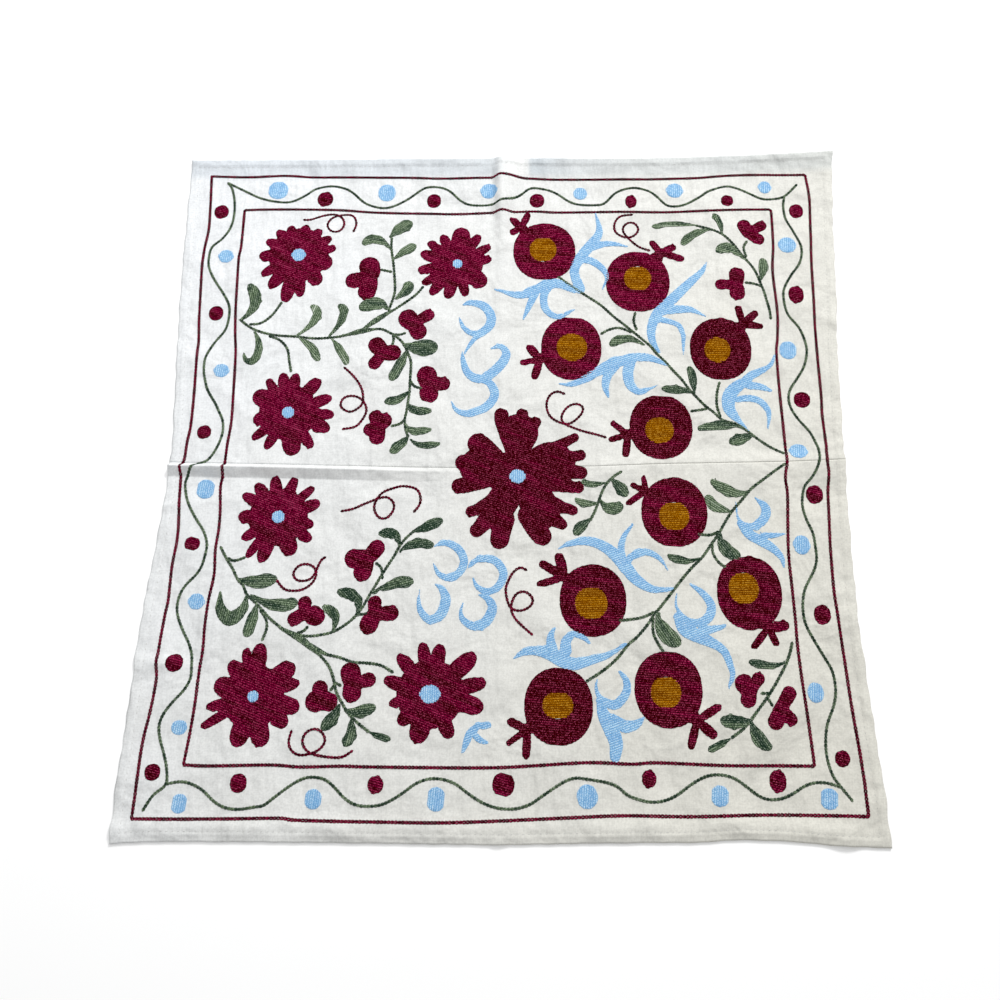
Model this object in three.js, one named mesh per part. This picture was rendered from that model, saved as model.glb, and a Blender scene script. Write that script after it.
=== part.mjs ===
// Embroidered square cloth of two joined cotton panels, lying spread out with its folds
// Units are millimetres, +X is right, +Y is away from the viewer, +Z is up
import * as THREE from 'three';

// Driving dimensions
const HALF_WIDTH = 490;
const BACK_DEPTH = 505;
const FRONT_DEPTH = 503;
const CLOTH_THICKNESS = 1.6;
const HEM_THICKNESS = 2.4;
const HEM_WIDTH = 10;
const HEM_STEP = 1.5;
const SEAM_GAP = 0.3;

// The middle of the outline's box, which is the origin of the part
const MIDDLE_X = 6.25;
const MIDDLE_Y = 1.5;

// How far each edge stands off its straight line, by the place along it
const LEFT_EDGE = [
  { along: -503, out: -9.5 },
  { along: -428, out: -9.3 },
  { along: -361, out: -6 },
  { along: -228, out: -2 },
  { along: -140, out: 5 },
  { along: -65, out: 11 },
  { along: 20, out: 13.5 },
  { along: 103, out: 9.5 },
  { along: 160, out: 6 },
  { along: 310, out: -1 },
  { along: 505, out: -5 },
];
const RIGHT_EDGE = [
  { along: -503, out: 6 },
  { along: -428, out: 3.3 },
  { along: -361, out: -1 },
  { along: -294, out: -4.5 },
  { along: -228, out: -8 },
  { along: -117, out: -8 },
  { along: 3, out: -5.6 },
  { along: 105, out: -2 },
  { along: 172, out: 0 },
  { along: 248, out: 6 },
  { along: 372, out: 12 },
  { along: 505, out: 22 },
];
const BACK_EDGE = [
  { along: -490, out: -4 },
  { along: -310, out: -4 },
  { along: -122, out: -3 },
  { along: 40, out: -3 },
  { along: 190, out: -4 },
  { along: 346, out: 0 },
  { along: 440, out: 5 },
  { along: 490, out: 8 },
];
const FRONT_EDGE = [
  { along: -490, out: -7 },
  { along: -430, out: -3.5 },
  { along: -185, out: -2 },
  { along: 6, out: -2 },
  { along: 72, out: 0 },
  { along: 173, out: 2.5 },
  { along: 250, out: 4 },
  { along: 303, out: 7.5 },
  { along: 361, out: 6.5 },
  { along: 428, out: 2 },
  { along: 490, out: 0 },
];
const SEAM_LINE = [
  { along: -490, out: 2 },
  { along: -300, out: -1 },
  { along: -72, out: -5 },
  { along: 119, out: -2.5 },
  { along: 221, out: 1 },
  { along: 405, out: 5 },
  { along: 490, out: 8.5 },
];

// The fold that stands up just in front of the seam, and how high it is along the seam
const SEAM_FOLD_OFFSET = 7;
const SEAM_FOLD_BACK = 7;
const SEAM_FOLD_FRONT = 14;
const SEAM_FOLD = [
  { along: -490, high: 8 },
  { along: -400, high: 9 },
  { along: -260, high: 8 },
  { along: -170, high: 5.5 },
  { along: -100, high: 2.5 },
  { along: -40, high: 0 },
];

// The low rise of the seam itself on the right
const SEAM_RISE_BACK = 22;
const SEAM_RISE_FRONT = 46;
const SEAM_RISE = [
  { along: 60, high: 0 },
  { along: 150, high: 1.2 },
  { along: 300, high: 2.4 },
  { along: 490, high: 3.2 },
];

// The upright fold from the back edge down the middle
const MIDDLE_FOLD_LINE = [
  { along: -503, out: 1 },
  { along: 300, out: -2 },
  { along: 505, out: -5 },
];
const MIDDLE_FOLD = [
  { along: -503, high: 1.6, left: 16, right: 16 },
  { along: -400, high: 0.8, left: 14, right: 14 },
  { along: 200, high: 0.7, left: 14, right: 14 },
  { along: 300, high: 1.4, left: 14, right: 15 },
  { along: 350, high: 4, left: 15, right: 17 },
  { along: 410, high: 9, left: 16, right: 22 },
  { along: 470, high: 12, left: 17, right: 44 },
  { along: 490, high: 9.5, left: 18, right: 46 },
  { along: 505, high: 7, left: 18, right: 46 },
];

// Soft creases near the edges, each from one end to the other
const CREASES = [
  { fromX: -502, fromY: -276, toX: -390, toY: -284, high: 2.6, left: 12, right: 20 },
  { fromX: -500, fromY: -70, toX: -452, toY: -58, high: 1.8, left: 9, right: 12 },
  { fromX: 425, fromY: -512, toX: 500, toY: -428, high: 3.4, left: 18, right: 24 },
  { fromX: -190, fromY: 520, toX: -128, toY: 470, high: 2.2, left: 14, right: 14 },
  { fromX: -96, fromY: 520, toX: -48, toY: 476, high: 2.4, left: 14, right: 14 },
  { fromX: 74, fromY: 520, toX: 150, toY: 478, high: 2, left: 14, right: 16 },
  { fromX: 440, fromY: 24, toX: 500, toY: 34, high: 1.8, left: 12, right: 16 },
];

// The front edge stands on a soft roll and turns down to the table again
const FRONT_ROLL_IN = 18;
const FRONT_ROLL = [
  { along: -490, high: 3.2 },
  { along: -250, high: 3.6 },
  { along: 0, high: 2.6 },
  { along: 250, high: 2.2 },
  { along: 420, high: 3 },
  { along: 490, high: 1 },
];

// Grid lines of the cloth, by the distance from its middle line or from its seam
const COLUMNS = [
  -490, -485, -480, -478.5, -460, -430, -400, -350, -300, -250, -205, -165, -130, -100,
  -75, -52, -36, -26, -19, -14, -10, -5, 1, 7, 14, 22, 32, 44, 60, 85, 115, 150,
  190, 240, 290, 340, 390, 430, 460, 478.5, 480, 485, 490,
];
const BACK_ROWS = [
  0, 5, 11, 20, 34, 60, 100, 150, 200, 250, 290, 320, 345, 370, 395, 420, 445, 465,
  480, 493.5, 495, 500, 505,
];
const FRONT_ROWS = [
  0, 2.4, 4.8, 7, 9.5, 12.5, 16, 21, 30, 48, 62, 80, 130, 190, 240, 262, 276, 290, 310,
  350, 400, 440, 465, 478, 485, 491.5, 493, 498, 503,
];

// Cloth colour
const COTTON = { color: 0xece8de, roughness: 0.92, metalness: 0 };

/** The value of a column at a place along a table, joined by a smooth curve. */
function valueAt(table, column, along) {
  const last = table.length - 1;
  if (along <= table[0].along) return table[0][column];
  if (along >= table[last].along) return table[last][column];
  let row = 0;
  while (along > table[row + 1].along) row += 1;
  const here = table[row];
  const next = table[row + 1];
  const before = table[Math.max(row - 1, 0)];
  const after = table[Math.min(row + 2, last)];
  const span = next.along - here.along;
  const startSlope = (next[column] - before[column]) / (next.along - before.along);
  const endSlope = (after[column] - here[column]) / (after.along - here.along);
  const t = (along - here.along) / span;
  const rise = t * t * (3 - 2 * t);
  const leave = t * (1 - t) * (1 - t) * span;
  const arrive = t * t * (t - 1) * span;
  return here[column] * (1 - rise) + next[column] * rise + startSlope * leave + endSlope * arrive;
}

/** The height of a soft ridge, from 1 on its crest to 0 at its foot on either side. */
function ridge(distance, below, above) {
  const reach = Math.abs(distance) / (distance < 0 ? below : above);
  return reach < 1 ? 0.5 + 0.5 * Math.cos(Math.PI * reach) : 0;
}

/** The height of one crease at a point, tapering to nothing at both ends. */
function creaseHeight(crease, x, y) {
  const runX = crease.toX - crease.fromX;
  const runY = crease.toY - crease.fromY;
  const length = Math.hypot(runX, runY);
  const along = ((x - crease.fromX) * runX + (y - crease.fromY) * runY) / (length * length);
  const across = ((x - crease.fromX) * runY - (y - crease.fromY) * runX) / length;
  const start = THREE.MathUtils.smoothstep(along, -0.15, 0.25);
  const end = 1 - THREE.MathUtils.smoothstep(along, 0.45, 1.1);
  return crease.high * start * end * ridge(across, crease.left, crease.right);
}

/** How high the underside of the cloth is above the table. */
function liftAt(x, y) {
  const fromSeam = y - valueAt(SEAM_LINE, 'out', x);
  const seamFold = valueAt(SEAM_FOLD, 'high', x)
    * ridge(fromSeam + SEAM_FOLD_OFFSET, SEAM_FOLD_FRONT, SEAM_FOLD_BACK);
  const seamRise = valueAt(SEAM_RISE, 'high', x) * ridge(fromSeam, SEAM_RISE_FRONT, SEAM_RISE_BACK);
  const fromMiddle = x - valueAt(MIDDLE_FOLD_LINE, 'out', y);
  const middleFold = valueAt(MIDDLE_FOLD, 'high', y)
    * ridge(fromMiddle, valueAt(MIDDLE_FOLD, 'left', y), valueAt(MIDDLE_FOLD, 'right', y));
  const fromFront = y + FRONT_DEPTH - valueAt(FRONT_EDGE, 'out', x) - FRONT_ROLL_IN;
  const frontRoll = valueAt(FRONT_ROLL, 'high', x) * ridge(fromFront, FRONT_ROLL_IN, FRONT_ROLL_IN);
  const creases = CREASES.map((crease) => creaseHeight(crease, x, y));
  return Math.max(seamFold, seamRise, middleFold, frontRoll, ...creases);
}

/** The thickness of the cloth at a distance from its nearest outer edge. */
function thicknessAt(fromEdge) {
  const turned = THREE.MathUtils.clamp((HEM_WIDTH + HEM_STEP - fromEdge) / HEM_STEP, 0, 1);
  return CLOTH_THICKNESS + (HEM_THICKNESS - CLOTH_THICKNESS) * turned;
}

/** A point of the spread cloth, for a column and a row of its grid. */
function pointAt(column, row, depth, edge, side) {
  const y = side * row;
  const right = (column + HALF_WIDTH) / (2 * HALF_WIDTH);
  const outer = row / depth;
  const left = valueAt(LEFT_EDGE, 'out', y);
  const spreadX = column + left * (1 - right) + valueAt(RIGHT_EDGE, 'out', y) * right;
  const seam = valueAt(SEAM_LINE, 'out', column) + side * SEAM_GAP / 2;
  const spreadY = y + seam * (1 - outer) + valueAt(edge, 'out', column) * outer;
  const fromEdge = Math.min(HALF_WIDTH - Math.abs(column), depth - row);
  const lift = liftAt(spreadX, spreadY);
  return { x: spreadX - MIDDLE_X, y: spreadY - MIDDLE_Y, low: lift, high: lift + thicknessAt(fromEdge) };
}

/** One panel as a closed sheet: side is 1 for the back panel and -1 for the front one. */
function panelGeometry(rows, depth, edge, side) {
  const ordered = side > 0 ? rows : [...rows].reverse();
  const wide = COLUMNS.length;
  const deep = ordered.length;
  const layer = wide * deep;
  const positions = [];
  const indices = [];
  for (const level of ['low', 'high']) {
    for (const row of ordered) {
      for (const column of COLUMNS) {
        const point = pointAt(column, row, depth, edge, side);
        positions.push(point.x, point.y, point[level]);
      }
    }
  }
  for (let j = 0; j < deep - 1; j += 1) {
    for (let i = 0; i < wide - 1; i += 1) {
      const a = j * wide + i;
      const b = a + 1;
      const c = a + wide;
      const d = c + 1;
      indices.push(a, d, b, a, c, d);
      indices.push(layer + a, layer + b, layer + d, layer + a, layer + d, layer + c);
    }
  }
  const addWall = (from, to) => indices.push(from, to, layer + to, from, layer + to, layer + from);
  for (let i = 0; i < wide - 1; i += 1) {
    addWall(i, i + 1);
    addWall((deep - 1) * wide + i + 1, (deep - 1) * wide + i);
  }
  for (let j = 0; j < deep - 1; j += 1) {
    addWall((j + 1) * wide, j * wide);
    addWall((j + 1) * wide - 1, (j + 2) * wide - 1);
  }
  const geometry = new THREE.BufferGeometry();
  geometry.setAttribute('position', new THREE.Float32BufferAttribute(positions, 3));
  geometry.setIndex(indices);
  geometry.computeVertexNormals();
  return geometry;
}

/** A named panel of the cloth. */
function makePanel(name, rows, depth, edge, side) {
  const geometry = panelGeometry(rows, depth, edge, side);
  const panel = new THREE.Mesh(geometry, new THREE.MeshStandardMaterial(COTTON));
  panel.name = name;
  return panel;
}

const suzani = new THREE.Group();
suzani.name = 'suzani';
suzani.add(makePanel('panel_back', BACK_ROWS, BACK_DEPTH, BACK_EDGE, 1));
suzani.add(makePanel('panel_front', FRONT_ROWS, FRONT_DEPTH, FRONT_EDGE, -1));

export default suzani;
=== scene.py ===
"""The suzani cloth as it lies: two cotton panels, couched silk motifs and chain stitched lines."""
import logging
import math
from dataclasses import dataclass, field
from enum import Enum
from functools import lru_cache

import bpy
import numpy as np
from mathutils import Euler, Matrix, Vector


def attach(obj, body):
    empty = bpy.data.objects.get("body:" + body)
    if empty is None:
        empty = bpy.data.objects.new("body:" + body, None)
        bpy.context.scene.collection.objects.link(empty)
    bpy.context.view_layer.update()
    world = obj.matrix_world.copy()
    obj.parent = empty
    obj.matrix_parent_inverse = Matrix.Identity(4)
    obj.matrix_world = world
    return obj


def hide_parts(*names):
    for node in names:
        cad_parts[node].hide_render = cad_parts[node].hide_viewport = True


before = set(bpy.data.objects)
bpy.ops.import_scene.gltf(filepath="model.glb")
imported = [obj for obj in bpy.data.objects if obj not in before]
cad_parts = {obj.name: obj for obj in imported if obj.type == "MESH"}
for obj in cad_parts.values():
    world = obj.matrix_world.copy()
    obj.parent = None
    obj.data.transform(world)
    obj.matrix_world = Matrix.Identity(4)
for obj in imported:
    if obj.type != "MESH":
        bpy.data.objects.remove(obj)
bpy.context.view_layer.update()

MM = 0.001
LOG = logging.getLogger("suzani")
Pair = tuple[float, float]
Triple = tuple[float, float, float]
Rows = tuple[tuple[float, ...], ...]
Array = np.ndarray
Piece = bpy.types.Object
Socket = bpy.types.NodeSocket


class Panel(Enum):
    """The two cotton panels, by the side of the seam on which they lie."""

    BACK = 1
    FRONT = -1


class Line(Enum):
    """The lines worked in chain stitch, by their width in millimetres and their thread's share of it."""

    BORDER = (5.3, 0.245)
    VINE = (4.8, 0.27)
    STEM = (5.0, 0.27)
    TENDRIL = (4.5, 0.255)


# Shape of the cloth


def along_table(rows: Rows, column: int, at: Array) -> Array:
    """Reads a column of a table at places along its first column, joined by a smooth curve.

    Args:
        rows: The table, sorted by its first column.
        column: The column that is read.
        at: The places.

    Returns:
        The value at each place.
    """
    table = np.asarray(rows, float)
    x, y = table[:, 0], table[:, column]
    low, high = np.maximum(np.arange(len(x)) - 1, 0), np.minimum(np.arange(len(x)) + 1, len(x) - 1)
    slope = (y[high] - y[low]) / (x[high] - x[low])
    at = np.clip(at, x[0], x[-1])
    i = np.clip(np.searchsorted(x, at, side="right") - 1, 0, len(x) - 2)
    span = x[i + 1] - x[i]
    t = (at - x[i]) / span
    rise = t * t * (3 - 2 * t)
    bend = slope[i] * t * (1 - t) ** 2 + slope[i + 1] * t * t * (t - 1)
    return y[i] * (1 - rise) + y[i + 1] * rise + bend * span


def ridge(distance: Array, below: Array | float, above: Array | float) -> Array:
    """The height of a soft ridge, from 1 on its crest to 0 at its foot on either side."""
    reach = np.abs(distance) / np.where(distance < 0, below, above)
    return np.where(reach < 1, 0.5 + 0.5 * np.cos(np.pi * np.minimum(reach, 1)), 0.0)


def smooth(value: Array, low: float, high: float) -> Array:
    """A soft step from 0 at low to 1 at high."""
    t = np.clip((value - low) / (high - low), 0, 1)
    return t * t * (3 - 2 * t)


@dataclass(frozen=True)
class ClothShape:
    """The outline, folds and thickness of the spread cloth, in millimetres.

    Edges and the seam are tables of a place and how far the line lies off its straight course there. Folds
    are tables of a place, a height and, where it varies, the reach to either side.
    """

    half_width: float = 490.0
    back_depth: float = 505.0
    front_depth: float = 503.0
    thickness: float = 1.6
    hem_thickness: float = 2.4
    hem_width: float = 10.0
    hem_step: float = 1.5
    rim_round: Pair = (0.35, 1.2)
    seam_round: Pair = (0.5, 1.5)
    seam_gap: float = 0.3
    middle: Pair = (6.25, 1.5)
    seam_fold: Triple = (7.0, 14.0, 7.0)
    seam_rise: Pair = (46.0, 22.0)
    front_roll_in: float = 18.0
    crumple: float = 0.34
    rim_crumple: float = 1.6
    rim_calm: float = 12.0
    side_ripple: float = 0.6
    end_ripple: float = 0.22
    ripple_reach: float = 10.0
    back_curl: Pair = (1.8, 28.0)
    left_edge: Rows = (
        (-503, -9.5), (-428, -9.3), (-361, -6), (-228, -2), (-140, 5), (-65, 11),
        (20, 13.5), (103, 9.5), (160, 6), (310, -1), (505, -5),
    )
    right_edge: Rows = (
        (-503, 6), (-428, 3.3), (-361, -1), (-294, -4.5), (-228, -8), (-117, -8),
        (3, -5.6), (105, -2), (172, 0), (248, 6), (372, 12), (505, 22),
    )
    back_edge: Rows = (
        (-490, -4), (-310, -4), (-122, -3), (40, -3), (190, -4), (346, 0), (440, 5), (490, 8),
    )
    front_edge: Rows = (
        (-490, -7), (-430, -3.5), (-185, -2), (6, -2), (72, 0), (173, 2.5), (250, 4),
        (303, 7.5), (361, 6.5), (428, 2), (490, 0),
    )
    seam: Rows = ((-490, 2), (-300, -1), (-72, -5), (119, -2.5), (221, 1), (405, 5), (490, 8.5))
    seam_fold_high: Rows = ((-490, 8), (-400, 9), (-260, 8), (-170, 5.5), (-100, 2.5), (-40, 0))
    seam_rise_high: Rows = ((60, 0), (150, 1.2), (300, 2.4), (490, 3.2))
    middle_fold_line: Rows = ((-503, 1), (300, -2), (505, -5))
    middle_fold: Rows = (
        (-503, 1.6, 16, 16), (-400, 0.8, 14, 14), (200, 0.7, 14, 14), (300, 1.4, 14, 15),
        (350, 4, 15, 17), (410, 9, 16, 22), (470, 12, 17, 44), (490, 9.5, 18, 46), (505, 7, 18, 46),
    )
    front_roll: Rows = ((-490, 3.2), (-250, 3.6), (0, 2.6), (250, 2.2), (420, 3), (490, 1))
    creases: Rows = (
        (-502, -276, -390, -284, 2.6, 12, 20), (-500, -70, -452, -58, 1.8, 9, 12),
        (425, -512, 500, -428, 3.4, 18, 24), (-190, 520, -128, 470, 2.2, 14, 14),
        (-96, 520, -48, 476, 2.4, 14, 14), (74, 520, 150, 478, 2, 14, 16),
        (440, 24, 500, 34, 1.8, 12, 16),
    )

    def crease(self, row: tuple[float, ...], x: Array, y: Array) -> Array:
        """The height of one crease, which tapers to nothing at both ends.

        Args:
            row: From x and y, to x and y, its height and its reach to the left and right.
            x: Places across the cloth.
            y: Places along the cloth.

        Returns:
            The height at each place.
        """
        from_x, from_y, to_x, to_y, high, left, right = row
        run = np.array([to_x - from_x, to_y - from_y])
        length = float(np.hypot(*run))
        along = ((x - from_x) * run[0] + (y - from_y) * run[1]) / length ** 2
        across = ((x - from_x) * run[1] - (y - from_y) * run[0]) / length
        taper = smooth(along, -0.15, 0.25) * (1 - smooth(along, 0.45, 1.1))
        return high * taper * ridge(across, left, right)

    def lift(self, x: Array, y: Array) -> Array:
        """How high the underside of the cloth lies above the surface that it rests on.

        Args:
            x: Places across the cloth.
            y: Places along the cloth.

        Returns:
            The height at each place, that of the highest fold there.
        """
        from_seam = y - along_table(self.seam, 1, x)
        offset, below, above = self.seam_fold
        from_crest = from_seam + offset
        flat_face = np.clip(1 + from_crest / below, 0, 1)
        profile = np.where(from_crest < 0, flat_face, ridge(from_crest, below, above))
        parts = [along_table(self.seam_fold_high, 1, x) * profile]
        parts.append(along_table(self.seam_rise_high, 1, x) * ridge(from_seam, *self.seam_rise))
        left, right = along_table(self.middle_fold, 2, y), along_table(self.middle_fold, 3, y)
        from_middle = x - along_table(self.middle_fold_line, 1, y)
        parts.append(along_table(self.middle_fold, 1, y) * ridge(from_middle, left, right))
        roll = self.front_roll_in
        from_front = y + self.front_depth - along_table(self.front_edge, 1, x) - roll
        parts.append(along_table(self.front_roll, 1, x) * ridge(from_front, roll, roll))
        high, reach = self.back_curl
        from_back = self.back_depth + along_table(self.back_edge, 1, x) - y
        parts.append(high * np.clip(1 - from_back / reach, 0, 1) ** 2)
        parts += [self.crease(row, x, y) for row in self.creases]
        return np.maximum.reduce(parts)

    def crumples(self, x: Array, y: Array) -> Array:
        """The slight unevenness of washed cotton, stronger near the rim and never below nothing.

        Args:
            x: Places across the cloth.
            y: Places along the cloth.

        Returns:
            The added height at each place.
        """
        warp = 9 * np.sin(x / 47 + 1.3) + 7 * np.sin(y / 31 + 0.4)
        waves = np.sin((x + 0.6 * y + warp) / 17) + 0.8 * np.sin((y - 0.4 * x + 1.4 * warp) / 13 + 2)
        fine = 0.7 * np.sin((x - 0.9 * y + warp) / 7.3) * np.sin((0.8 * x + y - warp) / 9.1)
        from_rim = np.minimum(self.half_width - np.abs(x - self.middle[0]), self.front_depth - np.abs(y))
        strong = self.crumple * (1 + self.rim_crumple * (1 - smooth(from_rim, 14, 52)))
        return strong * np.clip(1 + 0.5 * (waves + fine), 0, 2.4)

    def ripple(self, along: Array) -> Array:
        """How far the hem wanders outwards at places along it, as a multiple of the ripple's size."""
        return np.sin(along / 5.6 + 1.4 * np.sin(along / 29)) + 0.7 * np.sin(along / 13.7 + 2)

    def top(self, x: Array, y: Array) -> Array:
        """The height of the cloth's face, inside its hems."""
        return self.lift(x, y) + self.crumples(x, y) + self.thickness

    def place(self, column: Array, row: Array, panel: Panel) -> tuple[Array, Array]:
        """Places grid lines of a panel on the spread cloth.

        Args:
            column: Distances from the cloth's middle line.
            row: Distances from the seam, all positive.
            panel: The panel.

        Returns:
            The places across and along the cloth.
        """
        side = panel.value
        depth = self.back_depth if panel is Panel.BACK else self.front_depth
        edge = self.back_edge if panel is Panel.BACK else self.front_edge
        y = side * row
        right, outer = (column + self.half_width) / (2 * self.half_width), row / depth
        x = column + along_table(self.left_edge, 1, y) * (1 - right)
        x = x + along_table(self.right_edge, 1, y) * right
        seam = along_table(self.seam, 1, column) + side * self.seam_gap / 2
        return x, y + seam * (1 - outer) + along_table(edge, 1, column) * outer


def stepped(stops: Rows) -> Array:
    """Places grid lines.

    Args:
        stops: The stops, each with the widest step up to the next one.

    Returns:
        The places of the lines, in order.
    """
    lines = [np.array([stops[0][0]])]
    for (start, step), (end, _) in zip(stops, stops[1:]):
        count = max(1, math.ceil((end - start) / step))
        lines.append(np.linspace(start, end, count + 1)[1:])
    return np.concatenate(lines)


# Meshes


def triangles(*corners: tuple[Array, Array, Array]) -> Array:
    """Joins lists of triangles, each given by the lists of its three corners."""
    return np.concatenate([np.stack(three, 1) for three in corners])


def mesh_object(name: str, points: Array, faces: Array) -> Piece:
    """Makes an object of triangles, with its place in its mesh.

    Args:
        name: The piece's name.
        points: The corners, in metres.
        faces: The corners of each triangle.

    Returns:
        The object, smooth shaded and linked to the scene.
    """
    mesh = bpy.data.meshes.new(name)
    mesh.vertices.add(len(points))
    mesh.vertices.foreach_set("co", points.astype(np.float32).ravel())
    mesh.loops.add(faces.size)
    mesh.loops.foreach_set("vertex_index", faces.astype(np.int32).ravel())
    mesh.polygons.add(len(faces))
    mesh.polygons.foreach_set("loop_start", np.arange(0, faces.size, 3, dtype=np.int32))
    mesh.polygons.foreach_set("use_smooth", np.ones(len(faces), bool))
    mesh.update(calc_edges=True)
    mesh.validate()
    piece = bpy.data.objects.new(name, mesh)
    bpy.context.scene.collection.objects.link(piece)
    return piece


def spread_map(piece: Piece) -> None:
    """Gives a piece a map seen from straight above.

    Args:
        piece: The piece, which is widest from side to side or from front to back.
    """
    mesh = piece.data
    points = np.empty(len(mesh.vertices) * 3, np.float32)
    mesh.vertices.foreach_get("co", points)
    corners = np.empty(len(mesh.loops), np.int32)
    mesh.loops.foreach_get("vertex_index", corners)
    flat = points.reshape(-1, 3)[:, :2]
    low, high = flat.min(0), flat.max(0)
    places = 0.004 + 0.992 * (flat - low) / (high - low).max()
    mesh.uv_layers.new(name="OFBake").uv.foreach_set("vector", places[corners].astype(np.float32).ravel())


def add_attribute(piece: Piece, name: str, kind: str, values: Array) -> None:
    """Stores a value at each corner point of a piece, for its material to read."""
    key = "vector" if kind == "FLOAT_VECTOR" else "value"
    piece.data.attributes.new(name, kind, "POINT").data.foreach_set(key, values.astype(np.float32).ravel())


# Finishes


@dataclass(frozen=True)
class SilkFinish:
    """Silk thread of one colour family: its painted groove shade, its body, and its painted highlights."""

    name: str
    slot: str
    groove: Triple
    deep: Triple
    light: Triple
    fleck: Triple
    specular: float = 0.0
    bump: Pair = (0.6, 0.2)


@dataclass(frozen=True)
class CottonFinish:
    """Plain woven cotton: its own tone, a painted falloff of light, a painted rim shade, and how dark its
    grain is.

    A bump has its strength and its depth in millimetres.
    """

    name: str = "cotton"
    slot: str = "cotton"
    light: Triple = (0.855, 0.875, 0.89)
    # Painted falloff of light: the cotton's tone towards the right front
    aged: Triple = (0.75, 0.735, 0.66)
    # Painted shade: the greyer tone of the back rim
    soil: Triple = (0.72, 0.765, 0.815)
    shade: float = 0.87
    yarn_mm: float = 0.75
    crumple_bump: Pair = (0.9, 17.0)
    weave_bump: Pair = (0.35, 0.12)
    roughness: float = 0.9
    specular: float = 0.2
    sheen: float = 0.15


BURGUNDY = SilkFinish("burgundy_silk", "burgundy_silk", (0.02, 0.0, 0.001), (0.08, 0.0, 0.002),
                      (0.275, 0.0, 0.047), (0.84, 0.13, 0.29))
CRIMSON = SilkFinish("crimson_silk", "burgundy_silk", (0.022, 0.0, 0.002), (0.085, 0.0, 0.008),
                     (0.36, 0.008, 0.055), (0.7, 0.14, 0.27))
BLUE = SilkFinish("blue_silk", "blue_silk", (0.15, 0.35, 0.62), (0.36, 0.61, 0.86), (0.52, 0.79, 0.97),
                  (0.98, 1.0, 1.0))
GREEN = SilkFinish("green_silk", "green_silk", (0.01, 0.024, 0.015), (0.036, 0.076, 0.044),
                   (0.27, 0.37, 0.215), (0.7, 0.78, 0.64))
OCHRE = SilkFinish("ochre_silk", "ochre_silk", (0.11, 0.028, 0.0), (0.29, 0.092, 0.0),
                   (0.5, 0.19, 0.0), (0.98, 0.6, 0.08))
HEM_THREAD = SilkFinish("hem_thread", "cotton", (0.45, 0.45, 0.43), (0.72, 0.72, 0.7), (0.84, 0.84, 0.82),
                        (0.95, 0.95, 0.94))
COTTON = CottonFinish()


class Nodes:
    """A small helper that adds and joins the nodes of one tree."""

    def __init__(self, tree: bpy.types.NodeTree) -> None:
        """Starts on an empty tree."""
        self.tree = tree
        tree.nodes.clear()

    def add(self, kind: str, **settings: object) -> bpy.types.Node:
        """Adds a node.

        Args:
            kind: The node's type.
            settings: Its properties, and the values or links of its inputs by name with a leading in_.

        Returns:
            The node.
        """
        node = self.tree.nodes.new(kind)
        for key, value in settings.items():
            if not key.startswith("in_"):
                setattr(node, key, value)
        for key, value in settings.items():
            if key.startswith("in_"):
                self.feed(node, key[3:].replace("_", " "), value)
        return node

    def feed(self, node: bpy.types.Node, socket: str, value: object) -> None:
        """Sets or links one input.

        Args:
            node: The node.
            socket: The input's name or number.
            value: What it gets.
        """
        target = node.inputs[int(socket)] if socket.isdigit() else node.inputs[socket]
        if isinstance(value, Socket):
            self.tree.links.new(value, target)
        else:
            target.default_value = value

    def math(self, operation: str, *values: object) -> Socket:
        """Adds a sum.

        Args:
            operation: The kind of sum.
            values: One to three numbers or links.

        Returns:
            The result.
        """
        node = self.add("ShaderNodeMath", operation=operation)
        for place, value in enumerate(values):
            self.feed(node, str(place), value)
        return node.outputs[0]

    def plus(self, first: object, second: object) -> Socket:
        """Adds two values."""
        return self.math("ADD", first, second)

    def times(self, first: object, second: object) -> Socket:
        """Multiplies two values."""
        return self.math("MULTIPLY", first, second)

    def noise(self, at: object, scale: float, detail: float = 2.0,
              **settings: object) -> Socket:
        """Adds soft noise and returns its value."""
        node = self.add("ShaderNodeTexNoise", in_Vector=at, in_Scale=scale, in_Detail=detail, **settings)
        return node.outputs[0]

    def bump(self, sizes: Pair, height: object, **settings: object) -> Socket:
        """Adds a bump.

        Args:
            sizes: Its strength, and its depth in millimetres.
            height: The height that it follows.
            settings: Other inputs of its node.

        Returns:
            The direction that the bumped face has.
        """
        strength, depth = sizes
        node = self.add("ShaderNodeBump", in_Strength=strength, in_Distance=depth * MM, in_Height=height,
                        **settings)
        return node.outputs[0]

    def attribute(self, name: str, output: str = "Fac") -> Socket:
        """Reads an attribute of the piece."""
        return self.add("ShaderNodeAttribute", attribute_name=name).outputs[output]

    def mix(self, share: object, first: object, second: object) -> Socket:
        """Mixes two colours.

        Args:
            share: How much of the second colour there is.
            first: The first colour.
            second: The second colour.

        Returns:
            The mixed colour.
        """
        node = self.add("ShaderNodeMix", data_type="RGBA")
        for socket, value in ((0, share), (6, first), (7, second)):
            if isinstance(value, tuple) and len(value) == 3:
                value = (*value, 1.0)
            self.feed(node, str(socket), value)
        return node.outputs[2]

    def ramp(self, value: object, low: float, high: float) -> Socket:
        """Maps a value to a soft step.

        Args:
            value: The value.
            low: Where the step is 0.
            high: Where it is 1.

        Returns:
            The height of the step.
        """
        node = self.add("ShaderNodeMapRange", interpolation_type="SMOOTHSTEP")
        for socket, number in ((0, value), (1, low), (2, high), (3, 0.0), (4, 1.0)):
            self.feed(node, str(socket), number)
        return node.outputs[0]


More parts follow.
